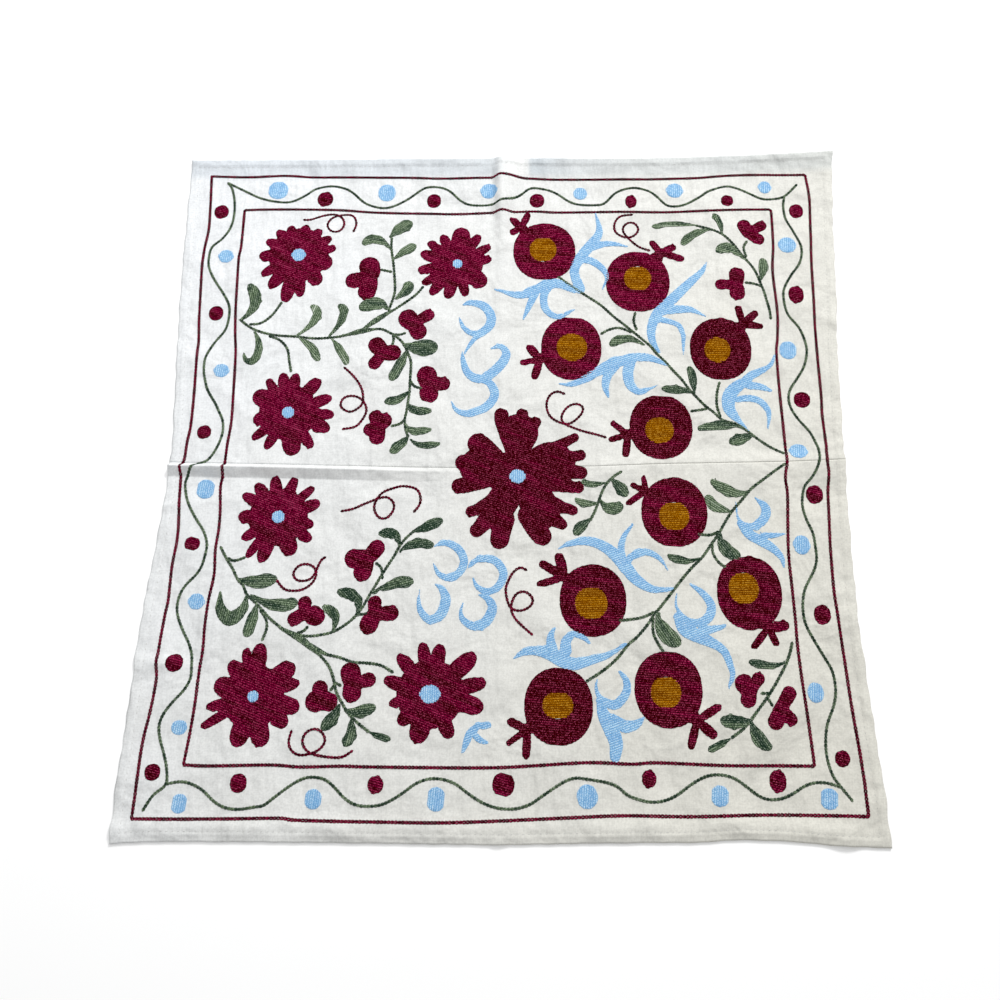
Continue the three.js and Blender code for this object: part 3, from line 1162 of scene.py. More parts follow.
@dataclass(frozen=True)
class Couching:
    """Rows of laid silk, each tied down by small slanted stitches, as every filled motif is worked.

    Rows stand row apart and ties tie apart. A row is high between its ties and tied under them. Its ends
    are ragged by so much, and its sides may end up to reach before or after its middle. A share of the ties
    have a painted highlight, and uneven and streaks are how much the tone differs from row to row and along
    each.
    Lengths are in millimetres.
    """

    row: float = 3.0
    tie: float = 2.9
    high: float = 1.15
    tied: float = 0.62
    ragged: float = 0.3
    reach: float = 9.0
    least_side: float = 0.6
    bare_inset: float = 0.3
    end_gap: float = 0.5
    end_crest: float = 0.8
    end_high: float = 0.35
    end_slope: float = 1.6
    sample: float = 0.5
    overlap: float = 1.28
    uneven: float = 0.25
    tie_shift: float = 0.2
    tie_shade: float = 0.3
    flecks: float = 0.34
    fleck_tones: Pair = (1.2, 1.7)
    streaks: float = 0.22

    def fill(self, work: ThreadWork, motif: Motif, rng: np.random.Generator) -> None:
        """Fills a motif with rows of thread.

        Args:
            work: The piece that the rows join.
            motif: The shape that they fill.
            rng: The source of small differences.
        """
        turn = math.radians(motif.angle)
        ahead = np.array([math.cos(turn), math.sin(turn)])
        side = np.array([-ahead[1], ahead[0]])
        centre, reach = motif.box()
        count = math.ceil(2 * reach / self.row)
        halves = self.row / 2 * (np.arange(2 * count + 1) - count)
        steps = np.arange(-reach, reach + self.sample, self.sample)
        u, v = np.meshgrid(steps, halves)
        inside = motif.holds(centre[0] + u * ahead[0] + v * side[0], centre[1] + u * ahead[1] + v * side[1])
        inside[:, [0, -1]] = False
        spans = [self.spans(held, steps) for held in inside]
        tie_places, tie_tones = [], []
        for number in range(1, 2 * count, 2):
            for place, span in enumerate(spans[number]):
                start, end = span + rng.uniform(-1, 1, 2) * self.ragged
                if end - start < motif.shortest:
                    continue
                others = spans[number]
                low = (others[place - 1][1] + start) / 2 if place else -reach
                high = (others[place + 1][0] + end) / 2 if place + 1 < len(others) else reach
                shift = (number % 4) * self.tie / 4 + rng.uniform(-self.tie_shift, self.tie_shift)
                first, last = start + self.end_gap - shift, end - self.end_gap - shift
                ties = np.arange(math.ceil(first / self.tie), last / self.tie) * self.tie + shift
                places, heights = self.rings(start, end, ties)
                row = Row(centre + halves[number] * side, ahead, side, (start, end),
                          self.side_ends(spans[number + 1], (start, end), low, high),
                          self.side_ends(spans[number - 1], (start, end), low, high),
                          places, self.row * self.overlap)
                tone = motif.tone + rng.uniform(-self.uneven, self.uneven)
                wave = np.sin(places / 13 + 0.8 * np.sin(halves[number] / 9) + halves[number] / 3.7)
                work.laid(row, heights, tone + self.streaks * wave)
                tie_places.append(row.point(ties, 0))
                # Some ties get a painted highlight, with a tone above 1
                lit = rng.random(len(ties)) < self.flecks
                bright = rng.uniform(*self.fleck_tones, len(ties))
                tie_tones.append(np.where(lit, bright, tone - self.tie_shade))
        middles = np.concatenate(tie_places) if tie_places else np.empty((0, 2))
        if len(middles):
            work.ties(middles, ahead, side, self.tied, self.row, np.concatenate(tie_tones))

    def rings(self, start: float, end: float, ties: Array) -> tuple[Array, Array]:
        """Where the rings of a row stand and how high it is there, low under ties and high between them.

        Args:
            start: Where the row starts.
            end: Where it ends.
            ties: Where its ties cross it.

        Returns:
            The places of the rings, in order, and the heights.
        """
        crests = (np.concatenate([[start], ties]) + np.concatenate([ties, [end]])) / 2
        crests[0] = min(crests[0], start + self.end_crest)
        crests[-1] = max(crests[-1], end - self.end_crest)
        places = np.concatenate([ties, crests])
        high = np.concatenate([np.full(len(ties), self.tied), np.full(len(crests), self.high)])
        order = np.argsort(places)
        places = places[order]
        from_end = np.minimum(places - start, end - places)
        return places, high[order] * np.minimum(1, self.end_high + from_end / self.end_slope)

    def spans(self, held: Array, steps: Array) -> Array:
        """The stretches of one line that are inside the shape, as starts and ends."""
        return (steps[np.flatnonzero(np.diff(held.astype(int)))] + self.sample / 2).reshape(-1, 2)

    def side_ends(self, spans: Array, own: Pair, low: float, high: float) -> Pair:
        """Where one side of a row starts and ends, so that the rows' ends follow the shape's outline.

        Args:
            spans: The stretches inside the shape on the line between this row and the next.
            own: The row's own start and end.
            low: The lowest start that is clear of the row before it on the same line.
            high: The highest end that is clear of the row after it.

        Returns:
            The side's start and end.
        """
        start, end = own
        met = spans[(spans[:, 0] < end) & (spans[:, 1] > start)]
        if not len(met):
            inset = self.bare_inset * (end - start)
            return start + inset, end - inset
        first = float(np.clip(met[0, 0], max(low, start - self.reach), start + self.reach))
        last = float(np.clip(met[-1, 1], end - self.reach, min(high, end + self.reach)))
        if last - first < self.least_side:
            middle = (first + last) / 2
            return middle - self.least_side / 2, middle + self.least_side / 2
        return first, last


@dataclass(frozen=True)
class Flower:
    """A burgundy flower with rounded petals and a small blue eye.

    Each petal is a row with the x and y of its tip and its width. The spread is how much wider it is on the
    way there.
    """

    centre: Pair
    eye: Pair
    core: float
    petals: Rows
    spread: float = 1.2
    tone: float = 0.7
    angle: float = -20.0

    def body(self) -> Motif:
        """The petals and the core, without the eye."""
        middle = np.array(self.centre)
        motif = eyed_motif(self.centre, self.eye, self.core, self.angle, self.tone)
        for x, y, width in self.petals:
            tip = np.array([x, y]) - middle
            reach = float(np.hypot(*tip))
            way = tip / reach
            stops = ((0.25 * self.core, 0.8), (0.6 * reach, self.spread), (0.8 * reach, 0.96 * self.spread),
                     (reach - 0.42 * width, 0.84))
            motif.stroke([(*(middle + way * far), width * share) for far, share in stops])
        return motif

    def eye_motif(self) -> Motif:
        """The blue eye."""
        return eye_motif(self.centre, self.eye)


def eyed_motif(centre: Pair, eye: Pair, core: float, angle: float,
               tone: float) -> Motif:
    """Starts a flower: its round core, left open for its eye.

    Args:
        centre: The middle of the flower.
        eye: The radii of the eye.
        core: The radius of the core.
        angle: The angle of its rows, in degrees.
        tone: How light its dye is.

    Returns:
        The flower without its petals.
    """
    motif = Motif(angle=angle, tone=tone, open_place=(*centre, eye[0] - UNDERLAP, eye[1] - UNDERLAP, PLAIN))
    motif.rounds.append((*centre, core, core, PLAIN))
    return motif


def eye_motif(centre: Pair, eye: Pair) -> Motif:
    """The blue eye of a flower."""
    return Motif(rounds=[(*centre, *eye, PLAIN)], angle=90.0, tone=0.6)


@dataclass(frozen=True)
class Pomegranate:
    """A burgundy fruit with an ochre heart and a three-tipped crown.

    Its rounds are given by centre and radii. The crown starts at the joint, and each of its tips is a row
    with x, y and its width.
    """

    body_round: tuple[float, float, float, float]
    heart: tuple[float, float, float, float]
    joint: Pair
    tips: Rows
    tone: float = 0.55
    angle: float = -4.0
    neck_depth: float = 14.0
    neck_foot: float = 22.0
    neck: float = 13.0
    tip_foot: float = 9.0

    def body(self) -> Motif:
        """The fruit and its crown, without the heart."""
        x, y, across, along = self.heart
        left_open = (x, y, across - UNDERLAP, along - UNDERLAP, FRUIT_HEART)
        motif = Motif(angle=self.angle, tone=self.tone, open_place=left_open)
        motif.rounds.append((*self.body_round, FRUIT))
        joint = np.array(self.joint)
        inward = np.array(self.body_round[:2]) - joint
        inward = joint + self.neck_depth * inward / np.hypot(*inward)
        motif.stroke([(*inward, self.neck_foot), (*self.joint, self.neck)])
        for x, y, width in self.tips:
            way = np.array([x, y]) - joint
            tip = np.array([x, y]) - way / np.hypot(*way) * width * 0.4
            halfway = (*(joint + 0.5 * way), width * 1.05)
            motif.stroke([(*self.joint, self.tip_foot), halfway, (*tip, width * 0.95)])
        return motif

    def heart_motif(self) -> Motif:
        """The ochre heart."""
        return Motif(rounds=[(*self.heart, FRUIT_HEART)], angle=self.angle + 6, tone=0.5)


def bud(row: tuple[float, ...]) -> Motif:
    """Draws a burgundy bud.

    Args:
        row: Its middle and its lobes, each with the radius of its round end.

    Returns:
        The bud.
    """
    middle, lobes = np.array(row[:2]), np.reshape(row[2:], (-1, 3))
    foot_width = 18
    motif = Motif(angle=RED_ANGLE, tone=0.55)
    for x, y, radius in lobes:
        half = ((x + middle[0]) / 2, (y + middle[1]) / 2, radius * 2)
        motif.stroke([(*middle, foot_width), half, (x, y, radius * 2.15)])
    return motif


def leaf(row: tuple[float, ...], tone: float) -> Motif:
    """A leaf that widens from its foot over a bend to its tip.

    Args:
        row: The foot, the bend and the tip, and the width.
        tone: How light its dye is.

    Returns:
        The leaf.
    """
    foot, bend, tip, width = np.array(row[0:2]), np.array(row[2:4]), np.array(row[4:6]), row[6]
    way = tip - foot
    motif = Motif(angle=math.degrees(math.atan2(way[1], way[0])), tone=tone, shortest=SHORTEST_LEAF)
    stops = ((0.0, 0.24), (0.18, 0.5), (0.4, 0.9), (0.62, 1.06), (0.8, 1.0), (0.92, 0.7))
    control = 2 * bend - (foot + tip) / 2
    motif.stroke([(*((1 - t) ** 2 * foot + 2 * t * (1 - t) * control + t * t * tip), width * share)
                  for t, share in stops])
    return motif


def scroll(strokes: tuple[Rows, ...], angle: float) -> Motif:
    """Draws a scroll or a curved leaf.

    Args:
        strokes: Its tapering strokes.
        angle: The angle of its rows, in degrees.

    Returns:
        The scroll.
    """
    motif = Motif(angle=angle, tone=0.5, shortest=SHORTEST_LEAF)
    for rows in strokes:
        motif.stroke(rows)
    return motif


# Where each motif lies on the cloth, in millimetres from its middle


FLOWERS = (
    Flower((-314, 334), (11, 11), 46, (
        (-305, 386, 15), (-282, 379, 14), (-265, 364, 14), (-257, 346, 13), (-265, 318, 24),
        (-279, 284, 20), (-307, 263, 15), (-330, 254, 18), (-355, 278, 17), (-369, 300, 14),
        (-375, 332, 17), (-366, 359, 14), (-350, 377, 14), (-331, 384, 15))),
    Flower((-70, 318), (8, 8), 39, (
        (-64, 379, 26), (-37, 368, 15), (-20, 349, 14), (-18, 327, 15), (-29, 283, 25), (-56, 264, 14),
        (-84, 260, 17), (-110, 267, 16), (-123, 284, 14), (-130, 307, 16), (-127, 337, 17), (-116, 356, 14),
        (-95, 368, 15)), 1.1),
    Flower((-311.6, 78), (9.5, 9.5), 43, (
        (-304, 139, 16), (-324, 140, 16), (-346, 130, 13), (-363, 107, 24), (-361, 65, 20), (-361, 37, 13),
        (-340, 22, 14), (-300, 13, 24), (-273, 24, 15), (-249, 51, 18), (-244, 74, 15), (-249, 102, 16),
        (-268, 131, 18)), 1.14),
    Flower((-314, -78), (9.5, 9.5), 42, (
        (-293, -20, 14), (-323, -19, 16), (-349, -29, 16), (-367, -45, 14), (-371, -78, 18),
        (-363, -111, 14), (-354, -136, 12), (-334, -143, 18), (-291, -132, 22), (-265, -112, 15),
        (-263, -90, 15), (-256, -57, 16), (-266, -34, 12)), 1.14),
    Flower((-329, -324), (8, 8), 42, (
        (-324, -254, 20), (-344, -261, 14), (-363, -278, 20), (-381, -308, 24), (-391, -340, 14),
        (-395, -365, 12), (-347, -388, 24), (-312, -388, 24), (-281, -362, 20), (-266, -339, 22),
        (-268, -304, 16), (-277, -281, 24)), 1.1, 0.6),
    Flower((-92.6, -319), (14, 12.5), 45, (
        (-105, -251, 16), (-80, -253, 18), (-33, -266, 22), (-18, -303, 18), (-21, -337, 22),
        (-63, -375, 18), (-109, -381, 24), (-133, -358, 18), (-147, -333, 14), (-155, -300, 16),
        (-137, -267, 17)), 1.12, 0.6),
)
ROSE_CENTRE = (22.5, -17.6)
ROSE_EYE = (11.5, 11)
ROSE_CORE = 40
# Strokes of the middle flower, as rows of x, y and width
ROSE_PETALS = (
    ((24, 10, 34), (23, 30, 42), (24, 48, 57)),
    ((8, 45, 24), (0, 66, 22), (-1, 75, 21)),
    ((24, 50, 24), (28, 68, 20), (29, 76, 18)),
    ((36, 46, 24), (45, 60, 18), (48, 64, 17)),
    ((38, -6, 44), (60, -2, 62), (70, -1, 70)),
    ((60, 16, 24), (92, 34, 15), (104, 40.5, 13)),
    ((80, 8, 26), (102, 12, 17), (112, 14, 16)),
    ((80, -8, 28), (106, -11, 20), (112, -12, 19)),
    ((64, -24, 30), (92, -31, 20), (108, -33.5, 17)),
    ((38, -36, 44), (52, -58, 52), (58, -70, 48)),
    ((64, -54, 24), (90, -64, 16), (100, -66.6, 15)),
    ((64, -70, 24), (78, -82, 18), (85, -87, 15)),
    ((40, -74, 34), (50, -94, 30), (57, -104, 27)),
    ((12, -38, 44), (-2, -60, 46), (-8, -72, 46)),
    ((-14, -56, 24), (-34, -66, 17), (-42.5, -69, 16)),
    ((-16, -74, 26), (-28, -90, 22), (-34, -96, 20)),
    ((4, -80, 30), (0, -98, 28), (-2, -109, 27)),
    ((6, -14, 46), (-16, -8, 52), (-30, -4, 60)),
    ((-6, 6, 28), (-26, 26, 29), (-34, 31, 31)),
    ((-30, 2, 34), (-48, 2, 27), (-54, 2.5, 25)),
    ((-26, -22, 28), (-50, -30, 24), (-60, -32, 22)),
)
# Each fruit's last number, where given, is its tone: some fruits are a deeper red, and those towards the
# front right are also made darker as painted shade, where the light falls off
POMEGRANATES = (
    Pomegranate((62, 339, 47.4, 48), (60, 342, 21, 21), (27, 380), (
        (11, 396, 12), (38, 405, 11), (10, 370, 11))),
    Pomegranate((202, 288, 48, 50), (202, 293, 21, 21), (238, 336), (
        (224, 356, 11), (261, 347, 12), (273, 325, 11))),
    Pomegranate((101, 179.6, 44.6, 50), (101.8, 180.7, 23, 22), (55, 161), (
        (37, 184, 13), (26, 156, 9), (46, 131, 12))),
    Pomegranate((320, 178.5, 45, 49), (315, 176.7, 19.5, 20), (355, 218), (
        (349, 248, 11), (377, 238, 12), (384, 214, 10)), 0.0),
    Pomegranate((228, 57, 45, 48.5), (225.5, 52, 21, 20), (180.5, 45.5), (
        (157, 64, 9), (153, 37, 9), (176, 12, 11)), 0.15),
    Pomegranate((241.6, -68.6, 46, 49.5), (241, -74.7, 21.5, 21), (203, -38), (
        (200, -17, 8), (182, -29, 8), (175.5, -58, 9)), 0.4),
    Pomegranate((126, -192.5, 45.5, 49), (123.6, -196.6, 22.5, 22.5), (88, -161), (
        (79, -128, 14), (54, -141, 12), (50, -172, 10)), 0.25),
    Pomegranate((338.5, -181, 44, 50), (331, -175, 21, 22), (361, -228), (
        (388, -224, 14), (371, -252, 10), (338, -256, 10)), 0.3),
    Pomegranate((78, -333, 45.5, 50), (77, -332, 21, 18), (37, -363), (
        (11, -352, 11), (10, -382, 8), (35, -399, 11)), 0.1),
    Pomegranate((223.5, -310, 45, 49.5), (220, -314, 20.5, 21), (259, -350), (
        (291, -330, 11), (283, -370, 13), (249, -385, 11)), 0.3),
)
# Buds, as the middle and then each lobe with its radius
BUDS = (
    (-200, 296, -204, 314, 15, -227, 290, 12, -206, 272, 13),
    (-134, 219, -142, 227, 14, -112, 233, 9, -126, 206, 12),
    (-177, 172, -187, 184, 12, -189, 155, 9, -163, 172, 12),
    (-109, 123, -111, 136, 14, -87, 123, 10, -107, 107, 13),
    (-178, 58, -183, 71, 10, -171, 66, 11, -191, 52, 9, -180, 41, 11),
    (-185, -138, -173, -122, 11, -203, -137, 13, -191, -156, 12),
    (-267, -212, -268, -199, 9, -281, -221, 9, -252, -217, 12),
    (-172, -213, -172, -198, 9, -179, -228, 12, -149, -212, 10),
    (-197, -306, -200, -292, 13, -175, -301, 9, -197, -318, 12),
    (-238, -327, -240, -313, 10, -245, -330, 13, -228, -330, 12),
    (372, 370, 367, 382, 10, 393, 382, 8, 387, 359, 9),
    (350, 283, 351, 300, 11, 350, 269, 11, 326, 283, 8),
    (331, -311, 324, -302, 12, 343, -295, 8, 328, -322, 10),
    (370, -333, 382, -314, 9, 362, -350, 10, 382, -347, 8),
)
# Dots of the border, as x, y and the two radii
RED_DOTS = (
    (-279, 431, 12.5, 12.5), (-109, 427, 11, 12), (51, 427, 11.5, 12), (196, 425, 9, 11),
    (344, 426, 9.5, 9.5), (-440, 409, 11.5, 11.5), (-432, 236, 11, 12), (-431.6, 47.5, 10.5, 10),
    (-432, -117, 11, 10), (-439, -281, 12, 11.5), (-453, -421.5, 10.5, 10.5), (-339, -434, 11, 12),
    (-160, -434, 10.5, 11), (6, -432, 14.5, 15), (194, -423, 9.5, 11), (359, -424, 11, 14),
    (448, 407, 11, 11.5), (437, 266, 11.5, 14), (432, 98.6, 12, 12), (438, -42.5, 12, 13),
    (434.4, -210, 11.5, 13), (444, -395.5, 10, 10),
)
BLUE_DOTS = (
    (-354, 447, 15.5, 15.5), (-183, 442, 13.5, 15), (-24, 444, 12.5, 13), (118, 439, 10.5, 10.5),
    (264, 444, 12.5, 12.5), (403, 449, 9.5, 10.5), (-426, 332, 11, 11), (-415.5, 143.5, 11, 10.5),
    (-421, -38, 13, 14), (-418, -198, 11, 11), (-424, -365, 10.5, 9.5), (-414, -460, 10.5, 12),
    (-240, -452.6, 11, 12.5), (-81, -451, 12, 15), (114, -445.5, 13, 15), (284, -443, 11.5, 13),
    (423, -445, 12, 13), (430, 349, 13, 13), (418, 176, 12.5, 14), (420.4, 20.8, 12.5, 10.5),
    (414.4, -114.3, 11, 13.5), (416.6, -312.6, 10.5, 13),
)
# Leaves, as foot, bend, tip and width
LEAVES = (
    (-394, 225, -374, 254, -388, 285, 17), (-309, 198, -280, 229, -290, 249, 13),
    (-260, 197, -239, 232, -248, 249, 13), (-305, 197, -285, 181, -272, 158, 12),
    (-256, 195, -240, 175, -230, 153, 13), (-174, 365, -160, 379, -144, 388, 19),
    (-172, 343, -196, 361, -216, 352, 15), (-168, 326, -150, 341, -136, 349, 14),
    (-162, 260, -146, 274, -144, 285, 16), (-174, 243, -190, 252, -215, 244, 20),
    (-146, 184, -122, 180, -101, 182, 24), (-142, 175, -152, 152, -164, 129, 16),
    (-136, 111, -152, 99, -171, 95, 12), (-137, 94, -127.5, 82, -101, 82, 12),
    (-139, 61, -127.5, 50, -100, 54, 11), (-135, 42, -145, 30, -159, 18, 14),
    (-132, 37.5, -114, 28.6, -87, 32, 10), (-363, -166, -338, -170, -310, -165, 18),
    (-334, -201, -339, -223, -345, -244, 16), (-343, -189, -308, -202, -279, -197, 17),
    (-228, -238, -226, -216, -244, -204, 13), (-196, -215, -198, -191, -226, -184, 15),
    (-176, -184, -143, -171, -122, -169, 15), (-124, -98, -103, -91, -83, -81, 14),
    (-141, -119, -150, -102, -171, -103, 14), (-140, -126, -119, -115, -93, -119, 13),
    (-172, -367, -158, -374, -143, -377, 9), (-213, -334, -220, -350, -234, -365, 15),
    (-205, -341, -187, -343, -165, -335, 15), (-196, -352, -195, -370, -203, -385, 14),
    (208, 185, 181, 195, 158, 183, 14), (274, 110, 257, 114, 230, 116, 12),
    (277.7, 107.5, 277, 130, 272, 150, 12), (345.5, 56, 318, 60, 277, 53, 13),
    (359, 45, 343, 40, 325.5, 34, 15), (148, -26, 128, -29, 113.6, -23.6, 9),
    (155, -21, 166, -32.5, 175, -44, 15), (136, -56, 117, -57, 105, -49, 10),
    (139, -52.5, 152.5, -63.6, 168, -59, 17), (125, -79, 112.5, -89, 103.6, -100, 14),
    (213, -210, 221, -234, 240, -250, 21), (345.5, -39, 322, -39, 294, -21, 15),
    (321, -67, 300, -61, 288, -45, 14), (303, -98, 309, -119, 328, -132, 17),
    (274, -134, 250, -137, 230, -129, 11), (294, 383, 262, 385.5, 223, 380, 9),
    (317, 376, 290, 368, 271, 349, 13), (333, 369, 330, 388, 321, 403, 10),
    (365, 325, 341, 344, 325, 337, 16), (385, 289, 391, 308, 391, 325, 13),
    (301, -372, 287, -380, 272, -387, 10), (379, -274, 356, -278, 331, -272, 11),
    (330, -349, 312, -351, 292, -349, 17), (330, -350, 337, -369, 352, -383, 17),
)
# Long curved leaves, as rows of x, y and width
CURVED_LEAVES = (
    ((-371, 206, 3), (-364, 190, 9), (-363, 172, 13), (-370, 159, 12), (-380, 160, 8), (-385, 171, 3)),
    ((-349, -190, 4), (-353, -208, 13), (-369, -221, 20), (-384, -207, 14), (-386, -185, 3)),
    ((-210, 209, 4), (-188, 226, 9), (-166, 241, 4)),
    ((-232, 201, 4), (-210, 207, 9), (-190, 210, 3)),
    ((-272, -249, 4), (-254, -259, 9), (-232, -269, 4)),
    ((-300, -233, 4), (-270, -248, 10), (-246, -267, 4)),
)
# Blue scrolls, each of strokes with rows of x, y and width
SCROLLS = (
    (
        ((-60, 250, 3), (-48, 253, 9), (-30, 248, 13), (-19, 234, 14), (-19, 218, 14), (-30, 205, 12),
         (-39, 198, 8), (-48, 186, 6), (-56, 172, 3)),
        ((-30, 206, 10), (-45, 203, 9), (-58, 212, 7), (-65, 227, 3)),
    ),
    (
        ((-59.7, 172, 3), (-58, 158, 8), (-53, 143, 11), (-43, 133, 13), (-30, 131, 14), (-18, 138, 15),
         (-7, 148, 15), (2, 160, 14), (5, 172, 12), (-4, 182, 8), (-17, 179, 3)),
        ((-30, 130, 10), (-18.6, 124, 11), (-12, 112, 13), (-13, 100, 13), (-23, 87.5, 13), (-39, 79, 12),
         (-54, 77, 10), (-67.5, 83, 6), (-74, 95, 2)),
    ),
    (
        ((-93, -120, 2), (-84, -115, 6), (-72, -115, 10), (-58, -124, 11.5), (-51, -139, 11.5),
         (-56, -154, 11), (-70, -163, 10), (-85, -158, 7), (-93, -144, 2)),
    ),
    (
        ((-45, -150, 2), (-39, -142, 7), (-25, -136, 10), (-8, -139, 11.5), (3.6, -155, 11.5),
         (-2, -173, 11), (-16, -182, 10), (-31, -176, 7), (-38.6, -163, 2)),
    ),
    (
        ((-90, -172, 2), (-80, -179, 9), (-75, -194, 14), (-81, -213, 14), (-95, -221, 12),
         (-108, -210, 9), (-112, -195, 5), (-111, -180, 2)),
    ),
    (
        ((-30, -186, 2), (-18, -191, 9), (-11, -204, 13), (-19, -222, 14), (-34, -229, 12),
         (-49, -222, 9), (-54, -211, 5), (-51, -196, 2)),
    ),
    (
        ((115, 276, 16), (107, 305, 14), (117, 329, 16), (132, 349, 16), (146, 372, 11), (141, 405, 2)),
        ((130, 346, 12), (160, 352, 9), (189, 347, 2)),
        ((118, 326, 12), (134, 322, 12), (150, 309, 10), (156, 294, 6), (149, 276, 2)),
    ),
    (
        ((106, 274, 10), (79, 285, 15), (50, 276, 16), (24, 266, 12), (-13, 275, 2)),
        ((52, 276, 12), (44, 260, 11), (37, 243, 8), (30, 226, 2)),
        ((70, 282, 12), (61, 265, 12), (64, 242, 11), (82, 230, 8), (107, 242, 2)),
    ),
    (
        ((230, 172, 4), (220, 194, 11), (221, 216, 14), (232, 238, 16), (254, 260, 16), (281, 287, 13),
         (299, 305, 8), (307, 320, 2)),
        ((240, 240, 13), (262, 242, 13), (280, 241, 9), (301, 230.6, 2)),
        ((232, 226, 10), (250, 221, 8), (261, 215, 8), (266, 201, 7), (266, 187, 5), (265, 170, 2)),
    ),
    (
        ((79, -122.5, 2), (101, -112, 10), (124, -111, 13), (144, -119, 15), (161, -133, 18),
         (172, -147, 18), (184, -162, 16), (200, -174, 12), (216, -178, 8), (236.6, -175, 2)),
        ((168, -140, 12), (166, -120, 10), (171, -103, 7), (183, -87, 3)),
        ((172, -145, 10), (178, -134, 10), (192, -126, 10), (206, -127, 9), (219, -135, 6),
         (229, -150, 2)),
    ),
    (
        ((82.5, 123, 2), (101, 122, 7), (121, 131, 12), (139, 142, 14), (157, 152, 18), (173, 159, 16),
         (190, 164, 14), (212, 164.5, 12), (228, 159, 8), (243, 151, 2)),
        ((165, 152, 14), (153, 135, 13), (150, 118, 10), (153.7, 104, 4)),
        ((187, 158, 16), (183, 140, 16), (186, 122, 14), (197, 111, 10), (210, 114, 6), (226, 122, 2)),
    ),
    (
        ((398, 168, 3), (391.7, 154, 6), (377.5, 143, 8), (363, 137, 12), (350, 125, 14), (337, 116, 18),
         (328, 103, 20), (326.6, 87.5, 18), (332, 76, 14), (343, 63, 6), (353, 51, 2)),
        ((357, 121, 12), (374, 118.6, 10), (388, 113, 5)),
        ((339, 98.6, 8), (354, 101, 10), (370, 97.5, 10), (381, 85, 9), (383, 72, 6), (380, 56, 2)),
    ),
    (
        ((355.5, -48, 2), (368, -61, 12), (366.6, -75, 13), (354, -87, 12), (341, -88, 9), (330, -77, 4),
         (328, -55, 2)),
        ((332, -84, 9), (343, -99, 14), (357, -108, 14), (374, -119, 12), (385.5, -132, 8),
         (388, -146, 2)),
        ((361, -102, 10), (377, -101, 7), (393, -99, 2)),
    ),
    (
        ((19, -272, 3), (32.5, -263, 9), (50, -261, 13), (68, -265, 18), (84, -274, 18), (101, -278, 16),
         (124, -272, 12), (146, -265, 8), (170, -251, 3)),
        ((70, -261, 16), (68, -243, 10), (73.6, -230, 3)),
        ((88, -261, 16), (89, -248, 13), (99, -239, 9), (112.5, -243, 7), (121, -251, 3)),
    ),
    (
        ((159, -287, 3), (168, -299, 9), (168, -314, 11), (157, -328, 12), (146, -330, 12),
         (132.5, -321, 7), (128, -308, 4), (130, -297, 2)),
        ((132.5, -325, 10), (137, -343, 16), (146, -361, 20), (152.6, -379, 18), (151, -396, 14)),
        ((148, -350, 16), (165, -358, 16), (180, -355, 11), (190, -346, 3)),
    ),
    (
        ((259, -170, 3), (274, -181, 9), (285.5, -197, 12), (283, -212, 13), (270, -222, 12),
         (252, -219, 9), (239, -201, 4), (240, -181, 2)),
        ((239, -214, 10), (248, -230, 18), (263, -239, 18), (283, -248, 14), (299, -259, 11),
         (306.6, -277, 9), (309, -292, 7), (303, -307, 3)),
        ((272, -232, 12), (290, -230, 9), (303, -225.5, 4)),
    ),
    (
        ((-15, -358, 9), (-28, -360, 9), (-38, -368, 10), (-43, -380, 9), (-48, -393, 3)),
        ((-33, -370, 9), (-25, -377, 8), (-16, -380, 4)),
    ),
)
# The chain stitched lines, each with points along it
OUTER_BORDER = (
    ((-460, 472), (-400, 471), (-340, 473), (-290, 470), (-172, 469), (-99, 467), (-21, 468), (12, 467),
     (44, 466), (95, 464), (272, 465), (350, 470), (466, 471)),
    ((467, 471), (470, 429), (467, 372), (464, 316), (462, 249), (460, 194), (460, 105), (459, 79),
     (460, 39), (459, 5), (460, -12), (456.7, -41), (455.5, -72.5), (453.3, -117), (452.6, -173),
     (454.4, -205), (457.8, -261), (461, -317), (464.4, -361), (468.9, -417), (469.5, -439),
     (469, -464.5)),
    ((470, -465), (339, -465), (250, -468), (161, -468), (95, -471), (1, -476), (-72, -479), (-160, -479),
     (-260, -478), (-283, -476), (-380, -478), (-474, -479)),
    ((-474, -479), (-472, -428), (-470.5, -385), (-465, -345), (-461.7, -303), (-463.4, -281),
     (-461.7, -250), (-459.4, -217), (-457, -194), (-457.2, -150), (-454, -115), (-454, -90), (-457, -50),
     (-458, -19), (-459, -6), (-456, 7.5), (-455, 30), (-452, 56), (-452, 99), (-454.3, 172), (-454, 190),
     (-457, 230), (-460, 290), (-461, 320), (-460, 350), (-457, 380), (-458, 410), (-461, 473)),
)
INNER_BORDER = (
    ((-404, 412), (-370, 413), (-265, 412), (-200, 407), (-127, 405), (-72, 404), (10, 407), (50, 408),
     (84, 406), (173, 407), (250, 406), (350, 410), (408, 410)),
    ((409, 410), (410, 400), (409, 349), (405, 305), (407, 238), (404, 194), (401, 172), (401, 105),
     (402, 61), (403, 7.5), (400.6, -6), (399, -21), (400.6, -41), (397.7, -84), (395.5, -128),
     (396.6, -173), (397.7, -217), (397.7, -250), (400, -294), (403.3, -339), (406.6, -390), (407, -405)),
    ((407, -405), (361, -405), (294, -405.5), (205, -403), (173, -405), (117, -403.7), (50, -408),
     (1, -411), (-61, -412), (-172, -412), (-205, -411.5), (-260, -413), (-298, -411), (-380, -413),
     (-413.4, -412)),
    ((-413.4, -412), (-409, -372), (-406, -334), (-405, -301), (-402.7, -261), (-403.2, -234),
     (-401.6, -197), (-397, -161), (-398.7, -126), (-396.7, -95), (-397.2, -68), (-400, -35), (-398, -19),
     (-397, 1), (-396, 30), (-393.4, 65), (-394.5, 110), (-396.7, 172), (-400, 200), (-403, 240),
     (-405, 290), (-406, 330), (-404, 350), (-404, 412)),
)
